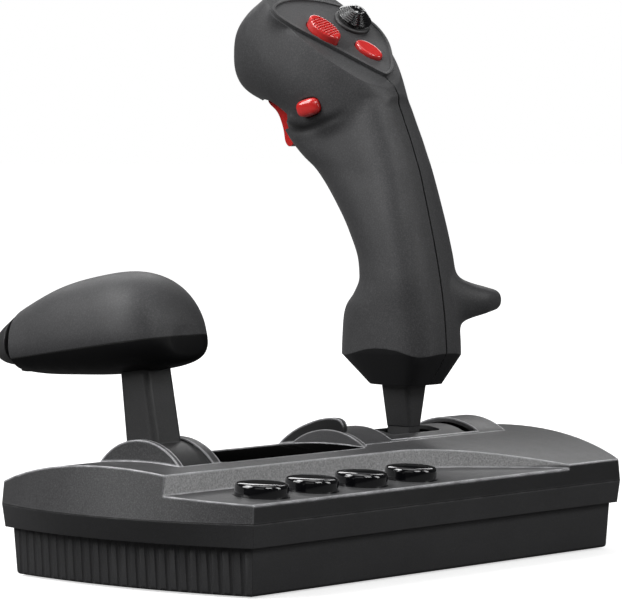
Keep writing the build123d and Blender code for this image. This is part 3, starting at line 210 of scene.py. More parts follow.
def deck_wall(m, col):
    """Painted light on the cover: painted highlight on the wall behind the button deck, a lighter tone over a coarser
    grain than the rest of the cover; painted shade on the front band below the deck; the tray's rear wall and the fin
    beside the hump darkened; and the cover's parting line.
    """
    g = m.add("ShaderNodeNewGeometry")
    n = m.add("ShaderNodeSeparateXYZ")
    m.link(g.outputs["Normal"], n.inputs[0])
    p = m.add("ShaderNodeSeparateXYZ")
    m.link(m.geo, p.inputs[0])
    # painted highlight: faces of the wall behind the deck that turn towards the viewer get a much lighter, grain-broken
    # tone
    k = m.ramp(n.outputs["Y"], -0.35, -0.75, 0.0, 1.0)
    k = m.math("MULTIPLY", k, m.ramp(p.outputs["Z"], 0.0405, 0.0415, 0.0, 1.0))
    k = m.math("MULTIPLY", k, m.ramp(p.outputs["Y"], -0.0300, -0.0312, 0.0, 1.0))
    tone = m.mix(m.ramp(m.noise(1700.0, 3.0, 0.6), 0.35, 0.65, 0, 1), (0.27, 0.27, 0.273), (0.56, 0.56, 0.565))
    # painted shade: the cover's front band below the deck, facing the viewer, is darkened to near black
    low = m.math("MULTIPLY", m.ramp(n.outputs["Y"], -0.75, -0.9, 0.0, 0.75), m.ramp(p.outputs["Z"], 0.0412, 0.0404, 0.0, 1.0))
    col = m.mix(low, col, (0.008, 0.008, 0.0085))
    # the tray's rear wall is painted near black, and the fin beside the hump darker
    pit = m.math("MULTIPLY", m.ramp(p.outputs["Z"], 0.0480, 0.0485, 0.0, 1.0), m.ramp(m.math("ABSOLUTE", m.math("SUBTRACT", p.outputs["Y"], 0.024)), 0.0006, 0.0003, 0.0, 1.0))
    pit = m.math("MULTIPLY", pit, m.ramp(n.outputs["Y"], -0.8, -0.9, 0.0, 1.0))
    col = m.mix(pit, col, (0.002, 0.002, 0.002))
    fin = m.math("MULTIPLY", m.ramp(m.math("ABSOLUTE", m.math("SUBTRACT", p.outputs["X"], 0.01085)), 0.0020, 0.0016, 0.0, 1.0), m.ramp(p.outputs["Z"], 0.0505, 0.0515, 0.0, 1.0))
    fin = m.math("MULTIPLY", fin, m.ramp(p.outputs["Y"], -0.0070, -0.0065, 0.0, 0.85))
    col = m.mix(fin, col, (0.010, 0.010, 0.0105))
    return parting(m, m.mix(k, col, tone), (0, 0, 1), SEAM_BASE)


SEAM_BASE = 0.0314
LEAN = math.radians(8.5)
SEAM_HEAD_N = (0.0, math.sin(LEAN), math.cos(LEAN))
SEAM_HEAD = 0.071 + 0.002 * SEAM_HEAD_N[1] + 0.0325 * SEAM_HEAD_N[2]


def parting(m, col, normal, level, half=0.00028):
    """A parting line: the crevice between two mouldings, on the plane with this normal and level."""
    d = m.add("ShaderNodeVectorMath", operation="DOT_PRODUCT")
    m.link(m.geo, d.inputs[0])
    d.inputs[1].default_value = normal
    k = m.ramp(m.math("ABSOLUTE", m.math("SUBTRACT", d.outputs["Value"], level)), half, half + 0.00018, 0.92, 0.0)
    return m.mix(k, col, (0.0012, 0.0012, 0.0012))


def base_seam(m, col):
    return parting(m, col, (0, 0, 1), SEAM_BASE)


def head_seam(m, col):
    return parting(m, col, SEAM_HEAD_N, SEAM_HEAD)


CASE = plastic("case", (0.058, 0.058, 0.060), 0.38, grain=0.00006, speck=0.5, edge_lightening=1.0, mottle=0.45, bevel=0.0007, zone=deck_wall, edge_gain=13.0, pebble_scale=1900.0, holes=True)
CASE_LOW = plastic("case_low", (0.034, 0.034, 0.0355), 0.48, grain=0.00005, speck=0.3, edge_lightening=0.8, mottle=0.20, bevel=0.0006, edge_gain=3.0, zone=base_seam)
# painted highlight: a lighter copy of the case plastic for the hump's near cheek
CHEEK_PAINTED_HIGHLIGHT = plastic("cheek", (0.105, 0.105, 0.108), 0.40, grain=0.00006, speck=0.3, edge_lightening=1.0, mottle=0.25, bevel=0.0005, edge_gain=6.0)
GRIP = plastic("grip", (0.043, 0.043, 0.045), 0.54, grain=0.00003, spread=0.07, sheen=0.12, mottle=0.32, pebble_scale=1500.0)
POD = plastic("pod", (0.036, 0.036, 0.038), 0.54, grain=0.00003, spread=0.07, sheen=0.12, mottle=0.32, pebble_scale=1500.0, zone=head_seam)
# painted shade: a near-black copy of the grip plastic for the downward-facing faces of the flared foot
GRIP_PAINTED_SHADE = plastic("grip_painted_shade", (0.010, 0.010, 0.011), 0.50, grain=0.00003, mottle=0.15, spec=0.35)
# painted shade: a near-black copy of the throttle head's plastic for its underside
POD_PAINTED_SHADE = plastic("pod_painted_shade", (0.0028, 0.0028, 0.0032), 0.50, grain=0.00003, mottle=0.1, spec=0.15, zone=head_seam)
BLACK = plastic("black", (0.034, 0.034, 0.035), 0.44, grain=0.00005, mottle=0.25, edge_lightening=0.8, bevel=0.0005, edge_gain=3.0)
INLAY = plastic("inlay", (0.002, 0.002, 0.002), 0.10, grain=0.000004, ior=1.003, spec=0.2, edge_lightening=0.1, mottle=0.0)
CAP = plastic("cap_black", (0.004, 0.004, 0.005), 0.07, grain=0.000002, coat=1.0, edge_lightening=0.2, bevel=0.0007, edge_gain=1.2)
RED = plastic("cap_red", (0.66, 0.028, 0.026), 0.16, grain=0.000003, coat=1.0, spread=0.04, edge_lightening=0.10, bevel=0.0005, edge_gain=1.2)
RUBBER = plastic("rubber", (0.020, 0.020, 0.020), 0.75, grain=0.00006)
SILICONE = plastic("silicone", (0.42, 0.42, 0.42), 0.6)
NYLON = plastic("nylon", (0.60, 0.60, 0.56), 0.5)
BOARD = plastic("board", (0.02, 0.14, 0.06), 0.35)
STEEL = metal("steel", (0.62, 0.62, 0.64), 0.3)
IRON = metal("iron", (0.30, 0.30, 0.31), 0.55)

LOOK = {
    "case_lower": CASE_LOW, "case_plastic": CASE, "inlay_gloss": INLAY, "grip_soft": GRIP, "black_plastic": BLACK, "cap_black": CAP,
    "cap_red": RED, "feet_rubber": RUBBER, "silicone": SILICONE, "steel": STEEL, "ballast_steel": IRON, "board": BOARD,
    "white_nylon": NYLON, "cable_sheath": RUBBER,
}
for part in frame["record"]["subparts"]:
    o = frame["nodes"][part["node"]]
    o.data.materials.clear()
    # the throttle head's lower half gets the painted-shade copy of its plastic
    o.data.materials.append({"throttle_head_lower": POD_PAINTED_SHADE, "throttle_head_upper": POD}.get(part["node"]) or LOOK[part["material_slot"]])


# ------------------------------------------------------------------ mesh tools
def mesh_object(name, verts, faces, mat):
    me = bpy.data.meshes.new(name)
    me.from_pydata([tuple(v) for v in verts], [], [tuple(int(i) for i in f) for f in faces])
    me.validate()
    o = bpy.data.objects.new(name, me)
    bpy.context.scene.collection.objects.link(o)
    if mat:
        me.materials.append(mat)
    return o


def loft(rings):
    """Closed skin over a stack of rings with equal point counts, ends closed by fans."""
    r = np.array(rings, float)
    k, n = r.shape[:2]
    verts = list(r.reshape(-1, 3)) + [r[0].mean(0), r[-1].mean(0)]
    faces = []
    for i in range(k - 1):
        for j in range(n):
            a, b = i * n + j, i * n + (j + 1) % n
            faces.append((a, b, b + n, a + n))
    for j in range(n):
        faces.append((j, k * n, (j + 1) % n))
        faces.append(((k - 1) * n + j, (k - 1) * n + (j + 1) % n, k * n + 1))
    return np.array(verts), faces


def egg(a, y0, y1, back, nose, ym=0.42, n=96, xc=0.0):
    mid = y0 + (y1 - y0) * ym
    t = 2 * np.pi * (np.arange(n) + 0.5) / n
    s, c = np.sin(t), np.cos(t)
    e = np.where(s > 0, nose, back)
    b = np.where(s > 0, y1 - mid, mid - y0)
    return np.stack([xc + a * np.sign(c) * np.abs(c) ** (2 / e), mid + b * np.sign(s) * np.abs(s) ** (2 / e)], 1)


def interp_rows(rows, keys):
    """Smooth (monotone cubic) interpolation of table rows at keys of the first column."""
    rows = np.array(rows, float)
    x, y = rows[:, 0], rows[:, 1:]
    h = np.diff(x)
    d = np.diff(y, axis=0) / h[:, None]
    m = np.zeros_like(y)
    m[1:-1] = np.where(d[:-1] * d[1:] > 0, 2 * d[:-1] * d[1:] / np.where(np.abs(d[:-1] + d[1:]) < 1e-12, 1, d[:-1] + d[1:]), 0)
    m[0], m[-1] = d[0], d[-1]
    out = []
    for q in keys:
        i = int(np.clip(np.searchsorted(x, q) - 1, 0, len(x) - 2))
        t = (q - x[i]) / h[i]
        out.append((2 * t**3 - 3 * t**2 + 1) * y[i] + (t**3 - 2 * t**2 + t) * h[i] * m[i] + (3 * t**2 - 2 * t**3) * y[i + 1] + (t**3 - t**2) * h[i] * m[i + 1])
    return np.array(out)


def fuse(name, lofts, voxel, iters, mat):
    """Joins overlapping closed skins into one and lets their junctions flow together."""
    verts, faces, off = [], [], 0
    for v, f in lofts:
        verts.append(v)
        faces += [tuple(i + off for i in q) for q in f]
        off += len(v)
    o = mesh_object(name, np.concatenate(verts) * MM, faces, mat)
    bm = bmesh.new()
    bm.from_mesh(o.data)
    bmesh.ops.recalc_face_normals(bm, faces=bm.faces)
    bm.to_mesh(o.data)
    bm.free()
    mod = o.modifiers.new("remesh", "REMESH")
    mod.mode = "VOXEL"
    mod.voxel_size = voxel * MM
    dg = bpy.context.evaluated_depsgraph_get()
    me = bpy.data.meshes.new_from_object(o.evaluated_get(dg))
    o.modifiers.clear()
    o.data = me
    if mat and not me.materials:
        me.materials.append(mat)
    relax(o, iters)
    return o


def points(o):
    co = np.zeros(len(o.data.vertices) * 3)
    o.data.vertices.foreach_get("co", co)
    return co.reshape(-1, 3) / MM


def near(p, centre, r0, r1):
    """1 inside r0 of the centre, 0 beyond r1, smooth between; the centre may be a list of points."""
    c = np.atleast_2d(centre)
    d = np.min(np.linalg.norm(p[:, None, :] - c[None, :, :], axis=2), axis=1)
    t = np.clip((r1 - d) / (r1 - r0), 0, 1)
    return t * t * (3 - 2 * t)


def relax(o, iters, keep=None, steps=(0.6, -0.62)):
    me = o.data
    n = len(me.vertices)
    co = np.zeros(n * 3); me.vertices.foreach_get("co", co); co = co.reshape(-1, 3)
    ed = np.zeros(len(me.edges) * 2, int); me.edges.foreach_get("vertices", ed); ed = ed.reshape(-1, 2)
    deg = np.bincount(ed.ravel(), minlength=n)[:, None]
    for k in range(iters):
        for w in steps:
            s = np.zeros_like(co)
            for a, b in ((0, 1), (1, 0)):
                for c in range(3):
                    s[:, c] += np.bincount(ed[:, a], weights=co[ed[:, b], c], minlength=n)
            d = s / np.maximum(deg, 1) - co
            if keep is not None:
                d *= keep[:, None]
            co = co + w * d
    me.vertices.foreach_set("co", co.ravel())
    me.update()


def cut(o, point, normal, fill=True, mat_index=None):
    """Removes what lies beyond the plane, on the side its normal points to."""
    bm = bmesh.new()
    bm.from_mesh(o.data)
    res = bmesh.ops.bisect_plane(bm, geom=bm.verts[:] + bm.edges[:] + bm.faces[:], plane_co=Vector(point), plane_no=Vector(normal), clear_outer=True, dist=1e-7)
    if fill:
        edges = [e for e in bm.edges if e.is_boundary]
        f = bmesh.ops.holes_fill(bm, edges=edges, sides=0)
        for q in f["faces"]:
            q.smooth = False
            if mat_index is not None:
                q.material_index = mat_index
    bm.to_mesh(o.data)
    bm.free()


def shade(o, angle=38.0):
    """Smooth shading with crisp edges where faces meet sharply."""
    me = o.data
    me.shade_smooth()
    bm = bmesh.new()
    bm.from_mesh(me)
    lim = math.radians(angle)
    for e in bm.edges:
        if len(e.link_faces) == 2:
            e.smooth = e.calc_face_angle(0.0) < lim
    bm.to_mesh(me)
    bm.free()


def subtract(o, cutter):
    mod = o.modifiers.new("cut", "BOOLEAN")
    mod.operation = "DIFFERENCE"
    mod.solver = "EXACT"
    mod.object = cutter
    dg = bpy.context.evaluated_depsgraph_get()
    me = bpy.data.meshes.new_from_object(o.evaluated_get(dg))
    o.modifiers.clear()
    o.data = me
    bpy.data.objects.remove(cutter)


# ------------------------------------------------------------------ the grip
unit = lambda v: np.array(v, float) / np.linalg.norm(v)
PN = unit((-0.15, -0.60, 0.78))
PXD = unit((0.60, -0.15, 0.0))
PYD = np.cross(PN, PXD)
PO = np.array((64.0, 14.1, 217.0))
PANEL_UV = np.array([(-1.4, 0.2), (-7.7, 7.2), (-17.6, 18.5), (-27.8, 29.6), (-35.4, 39.6), (-37.2, 47.0), (-30.5, 53.4), (-20.0, 55.8),
                     (-7.7, 55.2), (3.0, 51.6), (10.8, 45.6), (15.2, 38.4), (16.4, 31.0), (14.8, 21.0), (9.8, 9.6), (4.0, 1.6)])


def on_panel(uv, w):
    uv = np.atleast_2d(uv)
    return PO + uv[:, :1] * PXD + uv[:, 1:2] * PYD + np.asarray(w, float).reshape(-1, 1) * PN


def closed_curve(pts, n):
    """Closed Catmull-Rom curve resampled to n even points."""
    p = np.array(pts, float)
    k = len(p)
    out = []
    for i in range(k):
        a, b, c, d = p[i - 1], p[i], p[(i + 1) % k], p[(i + 2) % k]
        for t in np.linspace(0, 1, 24, endpoint=False):
            out.append(0.5 * ((2 * b) + (-a + c) * t + (2 * a - 5 * b + 4 * c - d) * t**2 + (-a + 3 * b - 3 * c + d) * t**3))
    out = np.array(out)
    seg = np.linalg.norm(np.roll(out, -1, 0) - out, axis=1)
    s = np.concatenate([[0], np.cumsum(seg)])
    q = np.linspace(0, s[-1], n, endpoint=False)
    full = np.vstack([out, out[:1]])
    return np.stack([np.interp(q, s, full[:, c]) for c in range(2)], 1)


def inset(curve, d):
    t = np.roll(curve, -1, 0) - np.roll(curve, 1, 0)
    t /= np.linalg.norm(t, axis=1)[:, None]
    return curve + d * np.stack([t[:, 1], -t[:, 0]], 1)


# z, half width, back y, front y, squareness of the front
COLUMN = [(72.0, 20.4, -22.3, 35.0, 2.2), (91.0, 20.3, -22.0, 34.8, 2.2), (100.0, 20.5, -21.5, 34.2, 2.2), (107.0, 20.6, -20.9, 33.4, 2.2),
          (112.0, 20.7, -20.3, 31.6, 2.2), (118.0, 20.8, -19.4, 26.4, 2.2), (125.0, 20.7, -18.2, 23.0, 2.2), (132.0, 20.4, -16.8, 23.6, 2.2),
          (146.0, 20.0, -13.6, 29.6, 2.2), (160.0, 19.3, -10.0, 38.4, 2.3), (174.0, 18.3, -6.2, 49.4, 2.6), (181.0, 18.2, -3.6, 57.2, 3.2),
          (188.0, 18.0, -1.0, 63.6, 3.8), (194.0, 17.8, 1.6, 67.4, 4.0), (202.0, 17.4, 5.0, 70.0, 4.0), (212.0, 15.0, 9.6, 63.0, 3.0)]
HEAD = [(6.0, 64.0, 9.0, 186.0, 208.0), (18.0, 64.0, 17.4, 181.0, 228.0), (32.0, 63.2, 22.4, 182.0, 246.0), (47.0, 61.8, 24.4, 187.0, 256.0),
        (62.0, 60.8, 24.6, 196.0, 260.0), (75.0, 60.2, 22.6, 203.5, 253.0), (86.0, 60.0, 18.0, 208.5, 244.5), (92.8, 60.0, 10.0, 215.0, 235.0)]

OUT = closed_curve(PANEL_UV, 96)
zs = np.arange(72.0, 212.1, 1.6)
col = []
for z, (a, y0, y1, nose) in zip(zs, interp_rows(COLUMN, zs)):
    ring = egg(a, y0, y1, 3.2, nose, xc=64.0)
    col.append(np.column_stack([ring, np.full(len(ring), z)]))
ys = np.concatenate([np.arange(6.0, 92.8, 1.6), [92.8]])
head = []
for y, (xc, a, z0, z1) in zip(ys, interp_rows(HEAD, ys)):
    ring = egg(a, z0, z1, 2.3, 2.9, ym=0.5, xc=xc)
    head.append(np.column_stack([ring[:, 0], np.full(len(ring), y), ring[:, 1]]))
boss = [on_panel(inset(OUT, -e), w) for e, w in ((0.5, 4.0), (0.7, -1.0), (0.6, -5.0), (-0.8, -10.0), (-4.0, -17.0), (-10.0, -25.0))]
# ridge that carries the side button
def capsule(p0, p1, r0, r1, squash=(1, 1, 1), n=48, k=14):
    p0, p1 = np.array(p0, float), np.array(p1, float)
    d = unit(p1 - p0)
    u = unit(np.cross(d, (0, 0, 1)))
    v = np.cross(d, u)
    L = np.linalg.norm(p1 - p0)
    rings = []
    for s in np.linspace(-1, 1, 2 * k + 1):
        if s < 0:
            ang = (1 + s) * math.pi / 2
            c, r = p0 - d * r0 * math.cos(ang), r0 * math.sin(ang)
        else:
            ang = s * math.pi / 2
            c, r = p1 + d * r1 * math.sin(ang), r1 * math.cos(ang)
        r = max(r, 0.05)
        th = 2 * np.pi * np.arange(n) / n
        rings.append(c + r * (np.cos(th)[:, None] * u * squash[0] + np.sin(th)[:, None] * v * squash[1]))
    return rings


pod = capsule((57.5, 16.0, 204.0), (51.6, 52.0, 198.4), 4.0, 8.6, squash=(1.2, 0.80))
rest = []
for x, yc, zc, wy, wz in ((66, -1, 114.6, 17, 20), (75, -4, 114.4, 16.5, 17.4), (80, -6.5, 114.3, 15.6, 12.6), (86, -10.4, 114.1, 13.6, 9.6), (92, -13.8, 114.0, 11.4, 7.6), (98, -16.4, 114.0, 8.8, 5.9), (101.4, -17.8, 114.0, 7.0, 5.0), (102.4, -18.2, 114.0, 5.4, 4.2)):
    th = 2 * np.pi * np.arange(64) / 64
    c, s = np.cos(th), np.sin(th)
    rest.append(np.column_stack([np.full(64, float(x)), yc + wy * np.sign(c) * np.abs(c) ** 0.8, zc + wz * np.sign(s) * np.abs(s) ** 0.8]))

grip = fuse("grip_skin", [loft(col), loft(head), loft(boss), loft(pod), loft(rest)], 0.9, 14, GRIP)
grip.data.materials.append(GRIP_PAINTED_SHADE)
# soft blends: round the side button's shelf, under the panel's far corner, at the root of the hand rest
p = points(grip)
depth = (p - PO) @ PN
soft = near(p, [(44, 24, 204), (43, 36, 201), (44, 48, 197), (47, 56, 193)], 8.0, 17.0) * np.clip((-depth - 5.0) / 4.0, 0, 1)
relax(grip, 40, keep=soft, steps=(0.5,))
corner = on_panel(OUT, -6.0)[np.argsort(np.linalg.norm(OUT - np.array((-38.0, 46.0)), axis=1))[:16]]
soft = near(p, corner, 7.0, 14.0) * np.clip((-depth - 1.5) / 4.0, 0, 1)
relax(grip, 60, keep=soft, steps=(0.5,))
soft = near(p, [(83, -20, 121), (84, -10, 124), (83, 4, 121), (83, -20, 107), (84, -10, 104), (83, 4, 107)], 6.0, 12.0)
relax(grip, 40, keep=soft, steps=(0.5,))
# the shelf's lower edge: a rounded lip over a crease that dies out towards the rear
FLANK_A, FLANK_B = np.array((0.63795, -0.77008, 0.0)), np.array((0.03941, 0.03265, 0.99869))
FLANK_IN = np.cross(FLANK_B, FLANK_A)
CREASE = np.array([(-17.2, 197.2), (-15.45, 196.9), (-12.69, 195.76), (-9.0, 195.57), (-5.31, 196.22), (-1.16, 197.42), (2.99, 199.17), (7.6, 201.15), (12.21, 203.0)])
FADE = np.array([0.8, 1.0, 1.0, 1.0, 0.95, 0.8, 0.55, 0.25, 0.0])


def crease(o, line, fade, deep, proud):
    me = o.data
    p = points(o)
    nrm = np.zeros(len(p) * 3)
    me.vertices.foreach_get("normal", nrm)
    nrm = nrm.reshape(-1, 3)
    q = np.stack([p @ FLANK_A, p @ FLANK_B], 1)
    best = np.full(len(p), 1e9)
    side = np.zeros(len(p))
    amount = np.zeros(len(p))
    for i in range(len(line) - 1):
        a, b = line[i], line[i + 1]
        d = b - a
        L = np.linalg.norm(d)
        t = np.clip(((q - a) @ d) / L**2, 0, 1)
        off = q - (a + t[:, None] * d)
        dist = np.linalg.norm(off, axis=1)
        hit = dist < best
        best[hit] = dist[hit]
        side[hit] = np.sign(d[0] * off[hit, 1] - d[1] * off[hit, 0])
        amount[hit] = (fade[i] + (fade[i + 1] - fade[i]) * t[hit])
    sgn = best * side
    face = np.clip(-(nrm @ FLANK_IN) * 3.0, 0, 1) * (p[:, 0] < 60.0)
    move = (-deep * np.exp(-((sgn + 0.7) / 1.5) ** 2) + proud * np.exp(-((sgn - 2.6) / 2.2) ** 2)) * amount * face
    p = p + nrm * move[:, None]
    me.vertices.foreach_set("co", (p * MM).ravel())
    me.update()


crease(grip, CREASE, FADE, 1.5, 0.7)
relax(grip, 3, keep=near(points(grip), [(44, 24, 204), (43, 36, 201), (44, 48, 197), (47, 56, 193)], 10.0, 17.0), steps=(0.4,))
# seat of the thumb panel
cut(grip, on_panel((0, 0), -0.2)[0] * MM, PN)


def prism(plane_pts, depth_pts):
    """Closed prism between two matching outlines."""
    return loft([np.array(plane_pts), np.array(depth_pts)])


def oval(a, b, turn=0.0, n=40, e=2.0):
    t = 2 * np.pi * np.arange(n) / n
    c, s = np.cos(t), np.sin(t)
    p = np.stack([a * np.sign(c) * np.abs(c) ** (2 / e), b * np.sign(s) * np.abs(s) ** (2 / e)], 1)
    r = math.radians(turn)
    return p @ np.array([[math.cos(r), math.sin(r)], [-math.sin(r), math.cos(r)]])


def join(parts):
    verts, faces, off = [], [], 0
    for v, f in parts:
        verts.append(v)
        faces += [tuple(i + off for i in q) for q in f]
        off += len(v)
    return np.concatenate(verts) * MM, faces


def cutter(parts):
    v, f = join(parts)
    o = mesh_object("cutter", v, f, None)
    bm = bmesh.new()
    bm.from_mesh(o.data)
    bmesh.ops.recalc_face_normals(bm, faces=bm.faces)
    bm.to_mesh(o.data)
    bm.free()
    return o


# flared foot below the collar: everything outside this flare goes
def flare(z, out=0.0):
    k = z - 76.0
    return np.column_stack([egg(12.9 + 0.43 * k + out, -12.4 - 0.645 * k - out, 17.8 + 1.13 * k + out, 4.2, 2.9, xc=64.0), np.full(96, z)])


n = 96
rings = [flare(76.0), flare(80.0), flare(85.0), flare(90.0), flare(96.0), flare(99.0), flare(99.0, 16.0), flare(90.0, 25.0), flare(70.0, 36.0), flare(70.0, -6.0)]
tor = np.array(rings)
verts = tor.reshape(-1, 3)
faces = [(i * n + j, i * n + (j + 1) % n, ((i + 1) % len(rings)) * n + (j + 1) % n, ((i + 1) % len(rings)) * n + j) for i in range(len(rings)) for j in range(n)]
subtract(grip, cutter([(verts, faces)]))
cut(grip, (0, 0, 0.0762), (0, 0, -1))

# openings: the thumb controls' wells, and the mouth behind the trigger
HAT_UV, F3_UV, F4_UV = (3.0, 38.2), (-18.7, 30.2), (0.0, 17.0)
wells = []
for uv, o2 in ((HAT_UV, oval(7.6, 7.6)), (F3_UV, oval(9.4, 5.8, -71)), (F4_UV, oval(7.4, 5.0, -60))):
    p = o2 + np.array(uv)
    wells.append(prism(on_panel(p, 6.0), on_panel(p, -12.0)))
S0 = np.array((40.4, 39.8, 202.6))
SZ = unit((-0.97, -0.2, -0.1))
SX = unit(np.array((0.2, -0.97, 0.1)) - np.dot((0.2, -0.97, 0.1), SZ) * SZ)
SY = np.cross(SZ, SX)
o2 = oval(6.4, 4.5, 9.0, e=2.8)
wells.append(prism(S0 + o2[:, :1] * SX + o2[:, 1:] * SY + 6 * SZ, S0 + o2[:, :1] * SX + o2[:, 1:] * SY - 8 * SZ))
mouth = [(56, 213.5), (69, 213.5), (82.5, 208.5), (84, 196), (72, 178), (56, 176), (50, 178.5), (50, 205)]
wells.append(prism([(55.8, y, z) for y, z in mouth], [(72.2, y, z) for y, z in mouth]))
# the near wall is cut back beside the trigger's root
relief = [[(38.0, y, z) for y, z in ((64.4, 206.2), (61.1, 205.6), (57.5, 203.7), (53.6, 201.4), (50.9, 199.5), (50.7, 197.7), (51.0, 195.6), (49.9, 193.1), (52.7, 192.2), (57.5, 194.9), (62.3, 199.5), (67.2, 204.8))],
          [(57.5, y, z) for y, z in ((80.9, 206.1), (77.6, 205.4), (73.9, 203.6), (70.0, 201.2), (67.2, 199.3), (67.0, 197.5), (67.4, 195.4), (66.3, 192.8), (69.1, 191.9), (73.9, 194.6), (78.8, 199.3), (83.7, 204.6))]]
subtract(grip, cutter(wells))
subtract(grip, cutter([loft(relief)]))
# downward-facing faces of the flared foot take the painted-shade copy of the grip plastic
for p in grip.data.polygons:
    p.material_index = 1 if p.center.z < 0.0975 and p.normal.z < -0.25 and p.center.z > 0.0 else 0

# two shells with a fine parting gap
left = grip
right = grip.copy()
right.data = grip.data.copy()
bpy.context.scene.collection.objects.link(right)
left.name, right.name = "grip_skin_left", "grip_skin_right"
cut(left, (0.0635, 0, 0), (1, 0, 0))
cut(right, (0.0645, 0, 0), (-1, 0, 0))
for o, node in ((left, "grip_left"), (right, "grip_right")):
    shade(o)
    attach(o, "stick")
    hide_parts(node)


# ------------------------------------------------------------------ button caps
def lathe(name, profile, origin, axis, mat, n=96):
    """Solid turned about an axis from (radius, height) pairs, bottom to top."""
    o, z = np.array(origin, float), unit(axis)
    x = unit(np.cross(z, (0.3, 1.0, 0.1)))
    y = np.cross(z, x)
    th = 2 * np.pi * np.arange(n) / n
    rings = [o + h * z + r * (np.cos(th)[:, None] * x + np.sin(th)[:, None] * y) for r, h in profile]
    v, f = loft(rings)
    q = mesh_object(name, v * MM, f, mat)
    shade(q, 50.0)
    return q


def stand_in(o, node):
    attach(o, body_of(frame["nodes"][node])[0])
    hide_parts(node)


DECK_UP = (0.0, -0.0585, 1.0)
R = 11.5
for k, x in enumerate((-104.0, -71.0, -37.5, -3.0)):
    base = (x, -54.0, 40.64)
    prof = [(4.0, -4.2), (12.5, -4.2), (12.7, -4.0), (12.7, -2.8), (R, -2.65), (R, 4.0), (R - 0.12, 4.6), (R - 0.45, 5.15), (R - 1.0, 5.55), (R - 2.0, 5.85), (R - 4.0, 6.1), (R - 7.0, 6.3), (1.0, 6.4)]
    stand_in(lathe(f"base_cap_{k + 1}", prof, base, DECK_UP, CAP), f"base_button_{k + 1}")

# side button: a pillow-shaped cap, its upper edge rising to the rear
rings = []
for a, h in ((6.9, -5.6), (6.9, -4.5), (6.0, -4.4), (6.0, 0.6), (5.9, 1.3), (5.6, 1.95), (5.05, 2.5), (4.2, 2.9), (2.8, 3.15), (1.0, 3.25)):
    o2 = oval(a, a * (4.9 / 6.9 if a > 6.5 else 4.1 / 6.0), 9.0, e=2.8)
    rings.append(S0 + o2[:, :1] * SX + o2[:, 1:] * SY + h * SZ)
v, f = loft(rings)
side_cap = mesh_object("side_cap", v * MM, f, RED)
shade(side_cap, 50.0)
stand_in(side_cap, "button_f2")


# lower half of the throttle head in painted shade, its thin front sliver cut back, with a rounded chin under the
# rocker, also in painted shade
LY, LZ = np.array((0.0, math.cos(LEAN), -math.sin(LEAN))), np.array((0.0, math.sin(LEAN), math.cos(LEAN)))
HEAD0 = np.array((-105.75, 2.0, 32.5))
low = frame["nodes"]["throttle_head_lower"]
under = mesh_object("head_lower_skin", [tuple(q.co) for q in low.data.vertices], [tuple(q.vertices) for q in low.data.polygons], POD_PAINTED_SHADE)
bm = bmesh.new()
bm.from_mesh(under.data)
bmesh.ops.remove_doubles(bm, verts=bm.verts, dist=2e-6)
bm.to_mesh(under.data)
bm.free()
cut(under, (HEAD0 + 58.1 * LY) * MM, LY)
shade(under, 30.0)
stand_in(under, "throttle_head_lower")
rings = []
for h in np.sin(np.linspace(-1.52, 1.52, 15)):
    k = (1.0 - abs(h) ** 2.4) ** (1 / 2.4)
    o2 = oval(12.0 * k, 5.0 * k, e=2.6, n=64)
    rings.append(HEAD0 + o2[:, :1] * np.array((1.0, 0.0, 0.0)) + (58.6 + o2[:, 1:]) * LY + (66.2 + 1.3 * h) * LZ)
v, f = loft(rings)
chin = mesh_object("head_chin", v * MM, f, POD_PAINTED_SHADE)
chin.data.shade_smooth()
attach(chin, body_of(low)[0])


# ------------------------------------------------------------------ the hump's near cheek, in a lighter plastic as painted highlight
BASE = body_of(frame["nodes"]["top_cover"])[0]
arc = [(2.5 + 35.4 * math.sin(a), 23.1 + 35.4 * math.cos(a)) for a in np.linspace(-0.62, 0.62, 61)]
arc += [(22.0, 47.6), (-17.0, 47.6)]
flat = [np.array([(x, y, z) for y, z in arc]) for x in (8.7, 11.6)]
v, f = loft(flat)
cheek = mesh_object("hump_cheek", v * MM, f, CHEEK_PAINTED_HIGHLIGHT)
shade(cheek, 30.0)
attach(cheek, BASE)


# ------------------------------------------------------------------ stage
def area(name, loc, target, size, power, colour=(1, 1, 1)):
    d = bpy.data.lights.new(name, "AREA")
    d.shape = "RECTANGLE"
    d.size, d.size_y = size
    d.energy = power
    d.color = colour
    o = bpy.data.objects.new(name, d)
    o.location = loc
    o.rotation_euler = (Vector(target) - Vector(loc)).to_track_quat("-Z", "Y").to_euler()
    bpy.context.scene.collection.objects.link(o)
    return o


